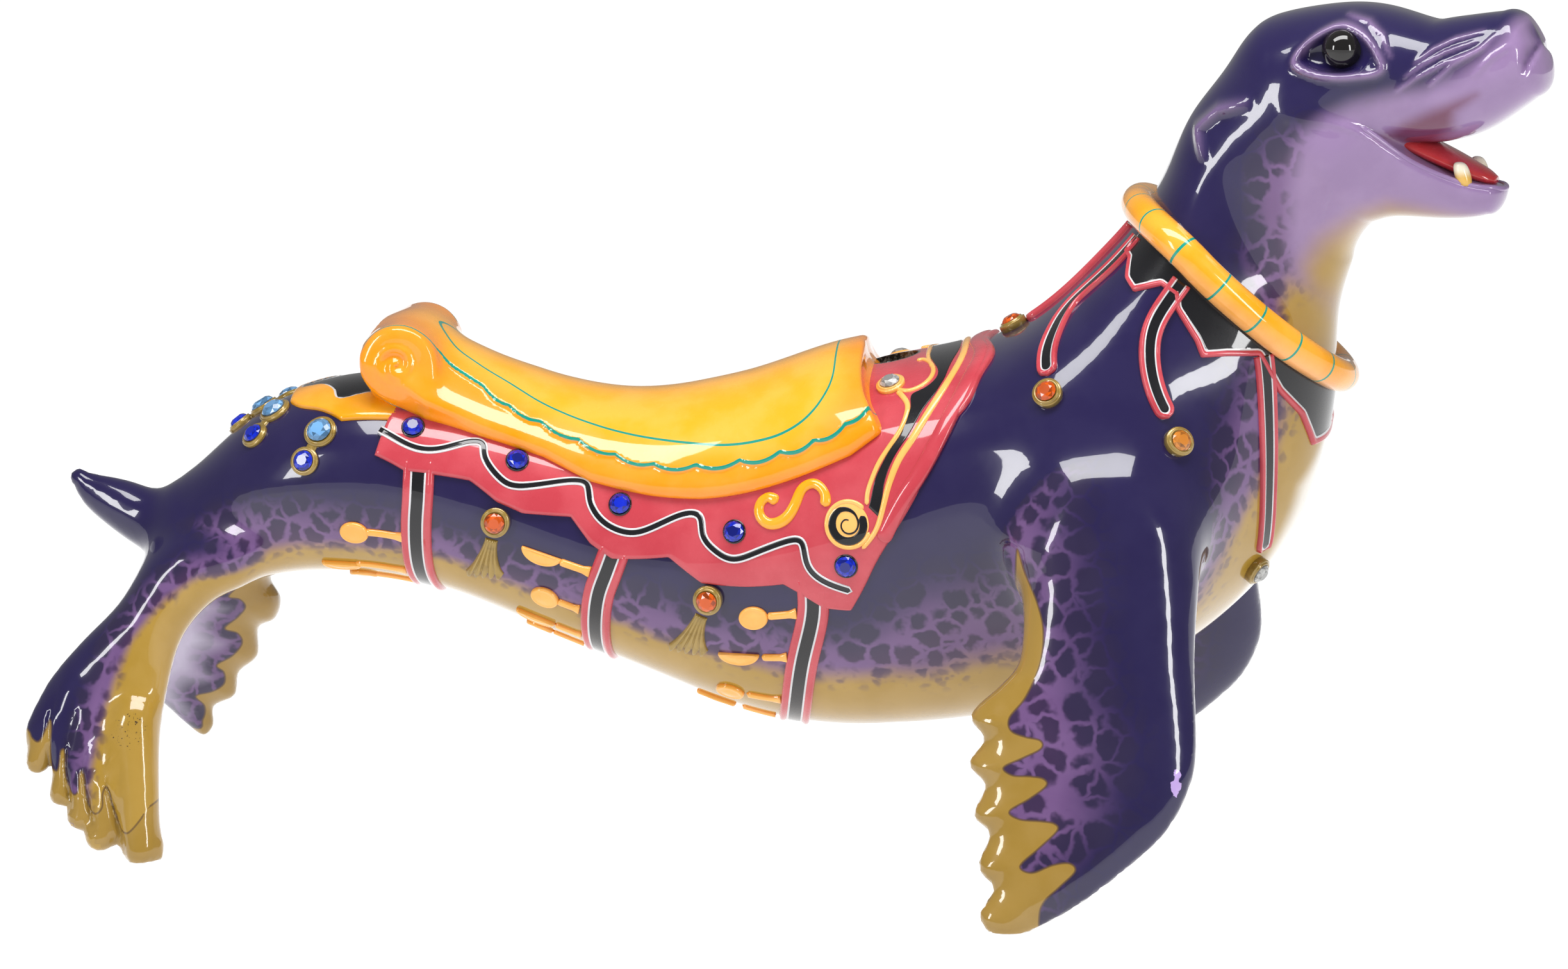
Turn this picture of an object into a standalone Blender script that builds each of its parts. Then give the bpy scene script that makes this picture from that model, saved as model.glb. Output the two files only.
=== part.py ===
"""Carousel sea lion: one cast, painted figure with a bore for its pole, glass eyes and set jewels.

Metres, +Z up, +X to the front, the animal's right side towards -Y. The origin is on the floor
under the middle of the figure. The skin is worked out as a distance field: forms carried along
curves and flat plates with round edges, blended into each other. The saddle, blanket, straps,
collar and settings are closed shapes that stand on that skin and are joined to it.

Tables of the free form are in millimetres of a pattern 1650 long, and MM brings them to LENGTH.
"""
import bmesh
import bpy
import numpy as np

# Driving dimensions
LENGTH = 1.650            # nose to tail
POLE_BORE = 0.052         # through hole for the ride's pole
POLE_SEAT = 0.104         # flat round seat under the belly, round the bore
SADDLE_THICKNESS = 0.036  # saddle above the skin at its middle
CANTLE_ROLL = 0.084       # diameter of the scroll at the back of the saddle
BLANKET_THICKNESS = 0.005
STRAP_WIDTH = 0.033       # girth straps
STRAP_THICKNESS = 0.004
RIBBON_WIDTH = 0.023      # straps that hang from the collar
COLLAR_TUBE = 0.036       # diameter of the padded ring round the neck
TRIM_THICKNESS = 0.005    # spoons, tassels and crupper above the skin
JEWEL_LARGE = 0.027
JEWEL_SMALL = 0.022
BEZEL_RIM = 0.004         # setting round each jewel
BEZEL_HEIGHT = 0.005      # flat top of a setting above what it stands on
EYE_DIAMETER = 0.042
FIT = 0.0003              # gap between pieces that touch
SKIN_STEP = 0.009         # spacing of the first mesh of the skin
SKIN_FACES = 6000         # triangles kept in the skin before the reliefs are joined
RELIEF_SHARE = 0.5        # share of the faces kept once they are
ROOT_DEPTH = 0.009        # how deep a relief reaches below the skin
SEAT_DEPTH = 0.008        # how far the pole's seat is cut up into the belly

MM = LENGTH / 1650        # a millimetre of the pattern at the length built


def pattern(rows):
    """A table of the pattern, in metres."""
    return np.array(rows, float) * MM


# The animal's stations: x and z of the spine, then reach above, below and to the side of it
TORSO = pattern([
    (-637, 330, 60, 60, 63), (-540, 378, 95, 95, 105), (-440, 397, 108, 110, 120),
    (-330, 378, 112, 112, 127), (-220, 342, 126, 118, 134), (-110, 318, 150, 140, 149),
    (0, 320, 164, 190, 166), (110, 350, 170, 226, 180), (210, 395, 158, 256, 188),
    (290, 455, 128, 272, 184), (355, 530, 95, 262, 166), (410, 610, 76, 214, 142),
    (455, 685, 66, 168, 120), (510, 755, 86, 145, 112), (575, 800, 105, 120, 104),
])
MUZZLE = pattern([
    (560, 835, 75, 75, 90), (610, 848, 75, 72, 94), (655, 848, 70, 68, 84), (700, 846, 63, 65, 74),
    (735, 853, 61, 62, 68), (765, 865, 55, 55, 62), (792, 877, 47, 48, 52),
])
JAW = pattern([
    (600, 800, 20, 90, 88), (640, 795, 10, 100, 80), (670, 776, 8, 80, 66), (700, 757, 8, 60, 52),
    (740, 741, 7, 40, 40), (768, 735, 6, 26, 30),
])
TAIL = pattern([
    (-600, 350, 50, 60, 60), (-660, 338, 36, 50, 48), (-702, 341, 34, 34, 36),
    (-735, 353, 27, 30, 28), (-765, 369, 19, 22, 18), (-783, 384, 10, 11, 10),
])
# Outlines of the limbs seen from the side, x and z
FORE_FLIPPER = pattern([
    (300, 464), (262, 390), (263, 363), (270, 325), (267, 263), (250, 238), (218, 207), (232, 183),
    (217, 160), (234, 139), (223, 111), (240, 93), (229, 62), (245, 41), (232, 19), (238, 3),
    (259, -8), (293, 7), (322, 22), (351, 41), (393, 74), (420, 100), (440, 135), (449, 175),
    (446, 260), (448, 353), (440, 418), (380, 483),
])
RIGHT_HIND = pattern([
    (-688, 317), (-724, 262), (-762, 222), (-788, 192), (-803, 169), (-819, 131), (-812, 103),
    (-796, 97), (-768, 62), (-742, 39), (-714, 17), (-690, 4), (-667, -4), (-660, 12), (-676, 54),
    (-674, 105), (-668, 160), (-654, 223), (-622, 264), (-580, 290), (-550, 337), (-640, 346),
])
LEFT_HIND = pattern([
    (-688, 317), (-724, 262), (-762, 222), (-788, 173), (-790, 140), (-760, 114), (-735, 91),
    (-712, 66), (-692, 49), (-680, 63), (-676, 88), (-650, 103), (-642, 133), (-618, 155),
    (-613, 191), (-592, 204), (-584, 229), (-593, 257), (-570, 290), (-550, 337), (-640, 346),
])
# Toes of the right hind flipper: root x, z, tip x, z, and the radius at each
TOES = pattern([
    (-765, 173, -803, 99, 18, 13), (-752, 154, -775, 67, 18, 13), (-736, 148, -752, 45, 18, 15),
    (-715, 140, -728, 27, 20, 18), (-698, 150, -684, 15, 26, 20),
])
# Half thickness of a fore flipper and of a hind one at each height above the floor
FORE_THICKNESS = pattern([(0, 16), (100, 21), (220, 28), (350, 45), (450, 70)])
HIND_THICKNESS = pattern([(0, 14), (100, 19), (200, 28), (300, 45), (360, 60)])
FORE_EDGE, HIND_EDGE = 60 * MM, 35 * MM       # width over which a plate rounds off to its edge
FORE_FOOT, RIGHT_HIND_FOOT, LEFT_HIND_FOOT = -360 * MM, -174 * MM, -190 * MM
SHOULDER_TOP = pattern((380, 450))            # the fore flippers swing about this x, z
FORE_LEAN, FORE_BEND = 0.40, 0.0016 / MM       # lean of a fore flipper, and its curve above ARMPIT
ARMPIT = 300 * MM
HIND_LEAN = 0.375
# The left fore flipper is set further forward: how far it is swung, and moved along
FORE_SWINGS = {-1: (0.0, 0.0), 1: (np.radians(5.7), 55 * MM)}

# The head turns to the right above the collar
COLLAR_CENTRE = pattern((485, 614))
COLLAR_LEAN = np.radians(40.4)
HEAD_TURN = np.radians(22)
HEAD_TURN_OVER = 120 * MM
HEAD_AXIS_X = 500 * MM
EYE_CENTRE = pattern((623, 72, 880))          # in the head's own frame, right side
LID = pattern([(580, 866), (595, 890), (622, 905), (650, 893), (670, 862), (640, 853), (606, 854)])
EAR = pattern([(528, 822), (498, 814), (474, 794), (478, 768)])
WHISKERS = [pattern(line) for line in (
    [(703, 871), (732, 893), (765, 903)], [(695, 854), (728, 880), (762, 894)],
    [(686, 839), (735, 872), (780, 899)], [(720, 846), (748, 869), (773, 888)],
    [(756, 847), (773, 872), (793, 890)],
)]
NOSTRIL = pattern([(800, 912), (812, 890), (808, 862)])
# The tongue's stations: x and z of its middle, half its width and half its height
TONGUE = pattern([
    (640, 790, 10, 5), (662, 786, 17, 9), (690, 776, 20, 11), (718, 765, 18, 11), (742, 755, 14, 10),
    (760, 748, 10, 8), (768, 745, 5, 4),
])
TOOTH = pattern((744, 27, 741))               # foot of the right tooth
TOOTH_WIDTH, TOOTH_HEIGHT = 17 * MM, 24 * MM
CANTLE_CENTRE = pattern((-408, 533))          # x and z of the scroll at the back of the saddle
CANTLE_HALF_WIDTH = 95 * MM
POLE_X = 120 * MM                             # the bore is upright, just in front of the pommel


def spline_through(stations):
    """Control points of the smooth curve through the stations, with one more past each end."""
    count = len(stations)
    weight = 4 * np.eye(count) + np.eye(count, k=1) + np.eye(count, k=-1)
    weight[0], weight[-1] = 6 * np.eye(count)[0], 6 * np.eye(count)[-1]
    inner = np.linalg.solve(weight / 6, stations)
    return np.vstack([2 * inner[0] - inner[1], inner, 2 * inner[-1] - inner[-2]])


def along(control, s):
    """The cubic B-spline's place, slope and bend at station s, a whole number at each station."""
    first = np.clip(np.floor(s).astype(int), 0, len(control) - 4)
    t = (s - first)[:, None]
    place = ((1 - t) ** 3, 3 * t**3 - 6 * t**2 + 4, -3 * t**3 + 3 * t**2 + 3 * t + 1, t**3)
    slope = (-3 * (1 - t) ** 2, 9 * t**2 - 12 * t, -9 * t**2 + 6 * t + 3, 3 * t**2)
    bend = (6 * (1 - t), 18 * t - 12, 6 - 18 * t, 6 * t)
    near = [control[first + k] for k in range(4)]
    return [sum(w * p for w, p in zip(basis, near)) / 6 for basis in (place, slope, bend)]


def nearest_station(control, flat):
    """Station whose section passes through each point (x, z): the nearest of a few, then Newton."""
    last = len(control) - 3
    tries = np.linspace(0, last, 4 * last + 1)
    spots = along(control, tries)[0][:, :2]
    s = np.concatenate([
        tries[((part[:, None] - spots) ** 2).sum(-1).argmin(1)]
        for part in np.array_split(flat, len(flat) // 100000 + 1)
    ])
    for _ in range(3):
        at, way, bend = (v[:, :2] for v in along(control, s))
        off, run = flat - at, (way**2).sum(1)
        step = (off * way).sum(1) / np.maximum(run - (off * bend).sum(1), 0.3 * run)
        s = np.clip(s + np.clip(step, -0.3, 0.3), 0, last)
    return s


def level(ratio, size, power=2.0):
    """Distance to the surface where the powers of the ratios add up to 1, to first order."""
    k = (ratio**power).sum(0) ** (1 / power) + 1e-9
    slope = np.sqrt(((ratio ** (power - 1) / size) ** 2).sum(0)) * k ** (1 - power) + 1e-6
    return (k - 1) / slope


FAR = 120 * MM            # distance given to points well clear of a form


def tube(p, stations, ends, power=2.1):
    """Distance to oval sections carried along a curve in the XZ plane, with round ends."""
    reach = stations[:, 2:].max() + FAR
    flat = p[:, [0, 2]]
    low, high = stations[:, :2].min(0) - reach, stations[:, :2].max(0) + reach
    near = ((flat > low) & (flat < high)).all(1) & (np.abs(p[:, 1]) < reach)
    out = np.full(len(p), FAR)
    flat, aside = flat[near], p[near, 1]
    control, last = spline_through(stations), len(stations) - 1
    s = nearest_station(control, flat)
    at, way, _ = along(control, s)
    way = way[:, :2] / np.linalg.norm(way[:, :2], axis=1)[:, None]
    off = flat - at[:, :2]
    beyond = np.where((s <= 0) | (s >= last), (off * way).sum(1), 0)
    up = off[:, 1] * way[:, 0] - off[:, 0] * way[:, 1]
    size = np.stack([np.where(up > 0, at[:, 2], at[:, 3]), at[:, 4], np.where(s < last / 2, *ends)])
    out[near] = level(np.abs([up, aside, beyond]) / size, size, power)
    return out


def smooth_outline(corners, per=6):
    """Closed curve through the corners, whose slope at each is that of its two neighbours' chord."""
    before, after, next_one = np.roll(corners, 1, 0), np.roll(corners, -1, 0), np.roll(corners, -2, 0)
    t = (np.arange(per) / per)[None, :, None]
    a, b, c, d = (v[:, None] for v in (before, corners, after, next_one))
    curve = 2 * b + (c - a) * t + (2 * a - 5 * b + 4 * c - d) * t**2 + (3 * b - a - 3 * c + d) * t**3
    return (curve / 2).reshape(-1, 2)


def depth_inside(flat, outline):
    """Distance in from a closed outline, below zero outside it."""
    way = np.roll(outline, -1, 0) - outline
    out = []
    for part in np.array_split(flat, len(flat) // 50000 + 1):
        off = part[:, None] - outline
        t = np.clip((off * way).sum(-1) / (way**2).sum(-1), 0, 1)
        gap = np.sqrt(((off - t[..., None] * way) ** 2).sum(-1).min(1))
        rises = (off[..., 1] < 0) != (off[..., 1] < way[:, 1])
        left = off[..., 0] * way[:, 1] < off[..., 1] * way[:, 0]
        crossed = rises & (left == (way[:, 1] > 0))
        out.append(np.where(crossed.sum(1) % 2 == 1, gap, -gap))
    return np.concatenate(out)


def plate(p, outline, edge, thickness):
    """Distance to a flat plate whose oval edge takes up the given width. Its side is along y."""
    flat = p[:, [0, 2]]
    near = ((flat > outline.min(0) - FAR) & (flat < outline.max(0) + FAR)).all(1)
    near &= np.abs(p[:, 1]) < 1.5 * FAR
    out = np.full(len(p), FAR)
    inside = depth_inside(flat[near], outline)
    half = np.interp(p[near, 2], *thickness.T)
    size = np.stack([np.full_like(half, edge), half])
    ratio = np.stack([np.maximum(1 - inside / edge, 0), np.abs(p[near, 1]) / half])
    out[near] = level(ratio, size)
    return out


def ball(p, centre, size):
    size = np.array(size)[:, None]
    return level(np.abs(p - centre).T / size, size)


def cone(p, start, end, start_radius, end_radius):
    """Distance to a round cone with ball ends."""
    way = end - start
    t = np.clip((p - start) @ way / (way @ way), 0, 1)
    radius = start_radius + (end_radius - start_radius) * t
    return np.linalg.norm(p - start - t[:, None] * way, axis=1) - radius


def blend(a, b, over):
    """The nearer of two forms, with a fillet where they are within this of each other."""
    return np.minimum(a, b) - np.maximum(over - np.abs(a - b), 0) ** 3 / (6 * over**2)


def stroke(flat, line, width, height):
    """Height of a soft ridge along a line, tapered to its ends."""
    out = np.zeros(len(flat))
    count = len(line) - 1
    for i, (start, end) in enumerate(zip(line[:-1], line[1:])):
        way = end - start
        t = np.clip((flat - start) @ way / (way @ way), 0, 1)
        gap = np.linalg.norm(flat - start - t[:, None] * way, axis=1)
        taper = np.sin(np.pi * (i + t + 0.15) / (count + 0.3)) ** 0.5
        out = np.maximum(out, height * taper * np.exp(-((gap / width) ** 2)))
    return out


def leaning(p, foot, lean, bend=0.0, start=0.0):
    """p seen from a plate that stands on y = foot, leans in with height, and more above start."""
    above = np.maximum(p[:, 2] - start, 0)
    slope = lean + 2 * bend * above
    aside = p[:, 1] - foot - lean * p[:, 2] - bend * above**2
    return np.stack([p[:, 0], aside / np.sqrt(1 + slope**2), p[:, 2]], 1)


def swung(p, angle, about):
    """p turned about a side to side axis, so that the floor end of a form there goes forward."""
    c, s = np.cos(angle), np.sin(angle)
    x, z = p[:, 0] - about[0], p[:, 2] - about[1]
    return np.stack([about[0] + c * x + s * z, p[:, 1], about[1] - s * x + c * z], 1)


def head_turn(p):
    """Angle the head has turned at each point: none at the collar's plane, all of it above."""
    over = (p[:, 0] - COLLAR_CENTRE[0]) * np.sin(COLLAR_LEAN)
    over = (over + (p[:, 2] - COLLAR_CENTRE[1]) * np.cos(COLLAR_LEAN)) / HEAD_TURN_OVER
    t = np.clip(over, 0, 1)
    return HEAD_TURN * t * t * (3 - 2 * t)


def yawed(p, angle):
    c, s = np.cos(angle), np.sin(angle)
    x, y = p[:, 0] - HEAD_AXIS_X, p[:, 1]
    return np.stack([HEAD_AXIS_X + c * x - s * y, s * x + c * y, p[:, 2]], 1)


def head(p):
    """Distance to the muzzle and lower jaw in the head's own frame."""
    form = tube(p, MUZZLE, (60 * MM, 24 * MM), 2.3)
    return blend(form, tube(p, JAW, (50 * MM, 12 * MM)), 14 * MM)


def face(p, form):
    """The head with its carving: eye hollows and lids, ears, whisker lines and nostrils."""
    near = (p[:, 2] > 740 * MM) & (form < 40 * MM) & (form > -40 * MM)
    q = p[near] * (1, -1, 1)
    q[:, 1] = np.abs(q[:, 1])
    flat, skin = q[:, [0, 2]], form[near]
    skin = -blend(-skin, ball(q, EYE_CENTRE + pattern((0, 17, -3)), pattern((40, 19, 21))), 10 * MM)
    side = np.clip(q[:, 1] / (30 * MM), 0, 1)
    rim = depth_inside(flat, smooth_outline(LID)) / (5 * MM)
    ridges = 5 * MM * np.exp(-(rim**2))
    ridges += stroke(flat, EAR, 7 * MM, 9 * MM)
    for line in WHISKERS:
        ridges += stroke(flat, line, 3 * MM, 3 * MM)
    ridges -= stroke(flat, NOSTRIL, 4 * MM, 6 * MM)
    out = form.copy()
    out[near] = skin - side * ridges
    return out


def figure(p):
    """Distance to the skin of the whole animal, below zero inside."""
    turned = yawed(p, head_turn(p))
    form = blend(tube(turned, TORSO, (60 * MM, 70 * MM)), head(turned), 50 * MM)
    form = face(turned, form)
    form = blend(form, tube(p, TAIL, (40 * MM, 12 * MM), 2.0), 30 * MM)
    for side, (swing, ahead) in FORE_SWINGS.items():
        q = leaning(p * (1, -side, 1), FORE_FOOT, FORE_LEAN, FORE_BEND, ARMPIT)
        q = swung(q, swing, SHOULDER_TOP) - (ahead, 0, 0)
        form = blend(form, plate(q, smooth_outline(FORE_FLIPPER), FORE_EDGE, FORE_THICKNESS), 90 * MM)
        shoulder = pattern((350, 100 * side, 400)) + (0.6 * ahead, 0, 0)
        form = blend(form, ball(p, shoulder, pattern((130, 105, 160))), 90 * MM)
    q = leaning(p, RIGHT_HIND_FOOT, HIND_LEAN)
    hind = plate(q, smooth_outline(RIGHT_HIND), HIND_EDGE, HIND_THICKNESS)
    for root_x, root_z, tip_x, tip_z, root, tip in TOES:
        toe = cone(q, np.array((root_x, -12 * MM, root_z)), np.array((tip_x, -4 * MM, tip_z)), root, tip)
        hind = blend(hind, toe, 12 * MM)
    form = blend(form, hind, 60 * MM)
    q = leaning(p * (1, -1, 1), LEFT_HIND_FOOT, HIND_LEAN)
    return blend(form, plate(q, smooth_outline(LEFT_HIND), HIND_EDGE, HIND_THICKNESS), 60 * MM)


def fill_checkered(field):
    """Fills the faces of cells whose inside corners lie on one diagonal: they would not close."""
    for _ in range(8):
        solid = field < 0
        fill = np.zeros_like(solid)
        for first, second in ((0, 1), (0, 2), (1, 2)):
            corners = []
            for i, j in ((0, 0), (1, 0), (1, 1), (0, 1)):
                cut = [slice(None)] * 3
                cut[first] = slice(i, field.shape[first] - 1 + i)
                cut[second] = slice(j, field.shape[second] - 1 + j)
                corners.append(tuple(cut))
            a, b, c, d = (solid[cut] for cut in corners)
            for cut in corners:
                fill[cut] |= (a == c) & (b == d) & (a != b)
        field[fill & ~solid] = -0.01 * MM


def skin_mesh(low, high, step):
    """Points and quads of the skin: one point in each cell of a grid that the skin crosses.

    The field is worked out at every fourth point first, and in full only near the skin. Each
    point starts at the mean of its cell's crossings and is then drawn onto the skin.
    """
    coarse = 4
    counts = np.ceil((high - low) / (step * coarse)).astype(int)
    middles = [low[i] + step * (coarse * np.arange(counts[i]) + 1.5) for i in range(3)]
    rough = figure(np.stack(np.meshgrid(*middles, indexing="ij"), -1).reshape(-1, 3))
    field = rough.reshape(counts)
    for axis in range(3):
        field = field.repeat(coarse, axis)
    close = np.abs(field) < 1.6 * coarse * step
    field[close] = figure(low + step * np.argwhere(close))
    fill_checkered(field)
    solid = field < 0

    def corner(values, shift):
        return values[tuple(slice(k, n - 1 + k) for k, n in zip(shift, values.shape))]

    shifts = [(i, j, k) for i in (0, 1) for j in (0, 1) for k in (0, 1)]
    filled = sum(corner(solid, shift).astype(int) for shift in shifts)
    crossed = (filled > 0) & (filled < 8)
    cells = np.argwhere(crossed)
    number = np.full(crossed.shape, -1)
    number[crossed] = np.arange(len(cells))
    value = {shift: corner(field, shift)[crossed] for shift in shifts}
    total, hits = np.zeros((len(cells), 3)), np.zeros((len(cells), 1))
    for shift in shifts:
        for axis in range(3):
            if shift[axis]:
                continue
            one, other = value[shift], value[tuple(k + (n == axis) for n, k in enumerate(shift))]
            cut = (one < 0) != (other < 0)
            share = np.where(cut, one / np.where(cut, one - other, 1), 0)[:, None]
            total += (np.array(shift) + share * np.eye(3)[axis]) * cut[:, None]
            hits += cut[:, None]
    points = onto_skin(low + step * (cells + total / hits), limit=0.5 * step)
    quads = []
    for axis in range(3):
        one = solid[tuple(slice(0, -1) if n == axis else slice(1, -1) for n in range(3))]
        other = solid[tuple(slice(1, None) if n == axis else slice(1, -1) for n in range(3))]
        edges = np.argwhere(one != other)
        leaving = one[one != other]
        first, second = [n for n in range(3) if n != axis]
        edges[:, first] += 1
        edges[:, second] += 1
        round_edge = []
        for back in ((1, 1), (0, 1), (0, 0), (1, 0)):
            cell = edges.copy()
            cell[:, first] -= back[0]
            cell[:, second] -= back[1]
            round_edge.append(number[tuple(cell.T)])
        quad = np.stack(round_edge, 1)
        turn = leaving == (axis == 1)
        quad[turn] = quad[turn, ::-1]
        quads.append(quad)
    return points, np.vstack(quads)


def outward(p, step=0.8 * MM):
    """Slope of the field, which points straight out of the skin."""
    return np.stack([figure(p + step * v) - figure(p - step * v) for v in np.eye(3)], 1) / (2 * step)


def onto_skin(p, limit=6 * MM, rounds=2):
    """Points near the skin drawn onto it."""
    for _ in range(rounds):
        slope = outward(p)
        step = -figure(p)[:, None] * slope / np.maximum((slope**2).sum(1), 0.05)[:, None]
        size = np.linalg.norm(step, axis=1)[:, None]
        p = p + step * np.minimum(1, limit / np.maximum(size, 1e-9))
    return p


def unit(v):
    return v / np.linalg.norm(v, axis=-1, keepdims=True)


SPINE = spline_through(TORSO)
STATIONS = np.linspace(0, len(TORSO) - 1, 1401)
RUN = np.linalg.norm(np.diff(along(SPINE, STATIONS)[0][:, :2], axis=0), axis=1)
RUN = np.concatenate([[0], np.cumsum(RUN)])


def skin(places):
    """Points of the skin from (mm along the spine from the tail, degrees round from the ridge).

    Degrees are positive on the right side and negative on the left, and 180 is the belly.
    """
    places = np.asarray(places, float)
    s = np.interp(places[:, 0] * MM, RUN, STATIONS)
    at, way, _ = along(SPINE, s)
    way = unit(way[:, :2])
    round_by = np.radians(places[:, 1])
    up, side = np.cos(round_by), -np.sin(round_by)
    ray = np.stack([-way[:, 1] * up, side, way[:, 0] * up], 1)
    centre = np.stack([at[:, 0], np.zeros(len(at)), at[:, 1]], 1)
    size = np.stack([np.where(up > 0, at[:, 2], at[:, 3]), at[:, 4]])
    reach = 1 / np.sqrt(((np.stack([up, side]) / size) ** 2).sum(0))
    for _ in range(6):
        reach = reach - 0.9 * figure(centre + reach[:, None] * ray)
    return centre + reach[:, None] * ray


def finish(name, points, faces, colour, roughness=0.3, metallic=0.0):
    """A mesh object with its faces outward, a material of its own and its place in its mesh."""
    mesh = bpy.data.meshes.new(name)
    mesh.from_pydata(points.tolist(), [], [list(map(int, face)) for face in faces])
    shape = bmesh.new()
    shape.from_mesh(mesh)
    bmesh.ops.recalc_face_normals(shape, faces=shape.faces)
    shape.to_mesh(mesh)
    shape.free()
    mesh.shade_smooth()
    mesh.set_sharp_from_angle(angle=np.radians(40))
    material = bpy.data.materials.new(name)
    material.use_nodes = True
    shader = material.node_tree.nodes["Principled BSDF"]
    shader.inputs["Base Color"].default_value = (*colour, 1)
    shader.inputs["Roughness"].default_value = roughness
    shader.inputs["Metallic"].default_value = metallic
    mesh.materials.append(material)
    made = bpy.data.objects.new(name, mesh)
    bpy.context.scene.collection.objects.link(made)
    return made


def slab(outer, inner):
    """Closed shape between two grids of points, the outer one above the other."""
    rows, columns = outer.shape[:2]
    number = np.arange(rows * columns).reshape(rows, columns)
    quad = np.stack([number[:-1, :-1], number[1:, :-1], number[1:, 1:], number[:-1, 1:]], -1)
    quad = quad.reshape(-1, 4)
    under = rows * columns
    rim = np.concatenate([number[0, :-1], number[:-1, -1], number[-1, :0:-1], number[:0:-1, 0]])
    after = np.roll(rim, -1)
    walls = np.stack([rim, after, after + under, rim + under], 1)
    points = np.vstack([outer.reshape(-1, 3), inner.reshape(-1, 3)])
    return points, np.vstack([quad, quad[:, ::-1] + under, walls])


def loft(rings):
    """Closed shape through rings of points, flat at both ends."""
    rings = np.asarray(rings)
    here = np.arange(rings.shape[0] * rings.shape[1]).reshape(rings.shape[:2])
    after = np.roll(here, -1, 1)
    walls = np.stack([here[:-1], after[:-1], after[1:], here[1:]], -1).reshape(-1, 4)
    return rings.reshape(-1, 3), [*walls, here[0, ::-1], here[-1]]


def gather(shapes):
    """Several closed shapes that do not meet, as one set of points and faces."""
    points, faces, used = [], [], 0
    for shape_points, shape_faces in shapes:
        points.append(shape_points)
        faces += [[int(v) + used for v in face] for face in shape_faces]
        used += len(shape_points)
    return np.vstack(points), faces


def raised(base, height, depth=ROOT_DEPTH):
    """Slab on a grid of skin points: raised by height, and rooted below the skin."""
    flat = base.reshape(-1, 3)
    out = unit(outward(flat)).reshape(base.shape)
    height = np.broadcast_to(height, base.shape[:2])[..., None]
    return slab(base + out * height, base - out * depth)


def ribbon(route, width, height):
    """Flat band that lies on the skin along a route of skin points, with square ends."""
    out = unit(outward(route))
    way = unit(np.gradient(route, axis=0))
    across = unit(np.cross(out, way))
    share = np.array([-0.5, 0, 0.5])
    base = route[:, None] + across[:, None] * share[:, None] * np.broadcast_to(width, len(route))[:, None, None]
    base = onto_skin(base.reshape(-1, 3)).reshape(base.shape)
    return raised(base, height)


def prism(centre, outline, turn_towards, top, root=ROOT_DEPTH):
    """Flat-topped shape that stands square to the skin, its outline in the skin's plane.

    The outline is (ahead, aside) from the centre, ahead pointing as turn_towards does.
    """
    out = unit(outward(centre[None]))[0]
    ahead = unit(turn_towards - out * (turn_towards @ out))
    aside = np.cross(out, ahead)
    flat = outline[:, :1] * ahead + outline[:, 1:] * aside + centre
    return loft([flat - out * root, flat + out * top])


def round_outline(radius, corners=8, longer=1.0):
    turn = 2 * np.pi * (np.arange(corners) + 0.5) / corners
    return radius * np.stack([longer * np.cos(turn), np.sin(turn)], 1)


def smooth_line(corners, per):
    """Points along a smooth open curve through the corners."""
    control = spline_through(np.asarray(corners, float))
    return along(control, np.linspace(0, len(corners) - 1, (len(corners) - 1) * per + 1))[0]


def both_sides(places):
    """The same places on the right side and, mirrored, on the left."""
    places = np.asarray(places, float)
    return [places, places * (1, -1)]


# Places on the skin, (mm along the spine from the tail, degrees round from the ridge)
BLANKET_REAR = 222
BLANKET_LOWER_EDGE = np.array([
    (218, 70), (251, 77), (316, 74), (350, 80), (380, 81), (430, 75), (460, 84), (488, 88),
    (549, 82), (588, 91), (637, 92), (675, 92), (689, 96), (710, 103), (735, 106),
])
BLANKET_FRONT_EDGE = np.array([
    (1008, 0), (1018, 31), (992, 47), (952, 57), (885, 65), (837, 76), (796, 88), (735, 106),
])
SADDLE_EDGE = np.array([
    (190, 30), (214, 35), (260, 41), (312, 52), (438, 56), (582, 57), (728, 55), (800, 53), (832, 46),
])
SADDLE_RISE = np.array([(190, 1.55), (230, 1.65), (300, 1.0), (400, 0.92), (560, 1.0), (832, 0.9)])
CRUPPER_EDGE = np.array([(139, 0), (139, 23), (150, 33), (167, 40), (186, 50), (205, 48), (226, 50)])
COLLAR_ROUTE = np.array([
    (0, 1247), (65, 1247), (93, 1236), (121, 1221), (142, 1211), (164, 1204), (180, 1202),
])
COLLAR_LIFT = 8 * MM      # middle of the collar's tube above the skin
STRAPS = {
    "rear": [(262, 70), (268, 90), (271, 103), (280, 130), (289, 155), (291, 180)],
    "middle": [(488, 84), (484, 97), (482, 110), (487, 135), (492, 160), (493, 180)],
    "front": [(705, 92), (697, 105), (677, 122), (661, 145), (653, 166), (652, 180)],
}
SPOONS = {
    "rear": [(193, 112, 258), (157, 138, 263), (180, 160, 272)],
    "middle": [(413, 97, 466), (425, 118, 464), (422, 138, 470), (428, 160, 474)],
    "front": [(633, 104, 679), (618, 121, 660), (609, 143, 645), (594, 163, 638)],
}
RIBBONS = [
    [(1225, 50), (1177, 47), (1129, 43), (1096, 52), (1070, 62), (1054, 70)],
    [(1215, 90), (1180, 89), (1152, 91), (1127, 97), (1109, 104), (1099, 110)],
    [(1193, 134), (1169, 139), (1126, 146), (1082, 153), (1045, 161)],
]
NAPE_RIBBON = [(1225, 0), (1180, 0), (1130, 0), (1090, 0), (1064, 0)]
BIB_EDGE = np.array([
    (1204, 50), (1202, 58), (1184, 66), (1179, 74), (1201, 83), (1200, 90), (1189, 93), (1172, 107),
    (1162, 112), (1176, 121), (1190, 132), (1171, 143), (1162, 154), (1143, 163), (1161, 180),
])
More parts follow.
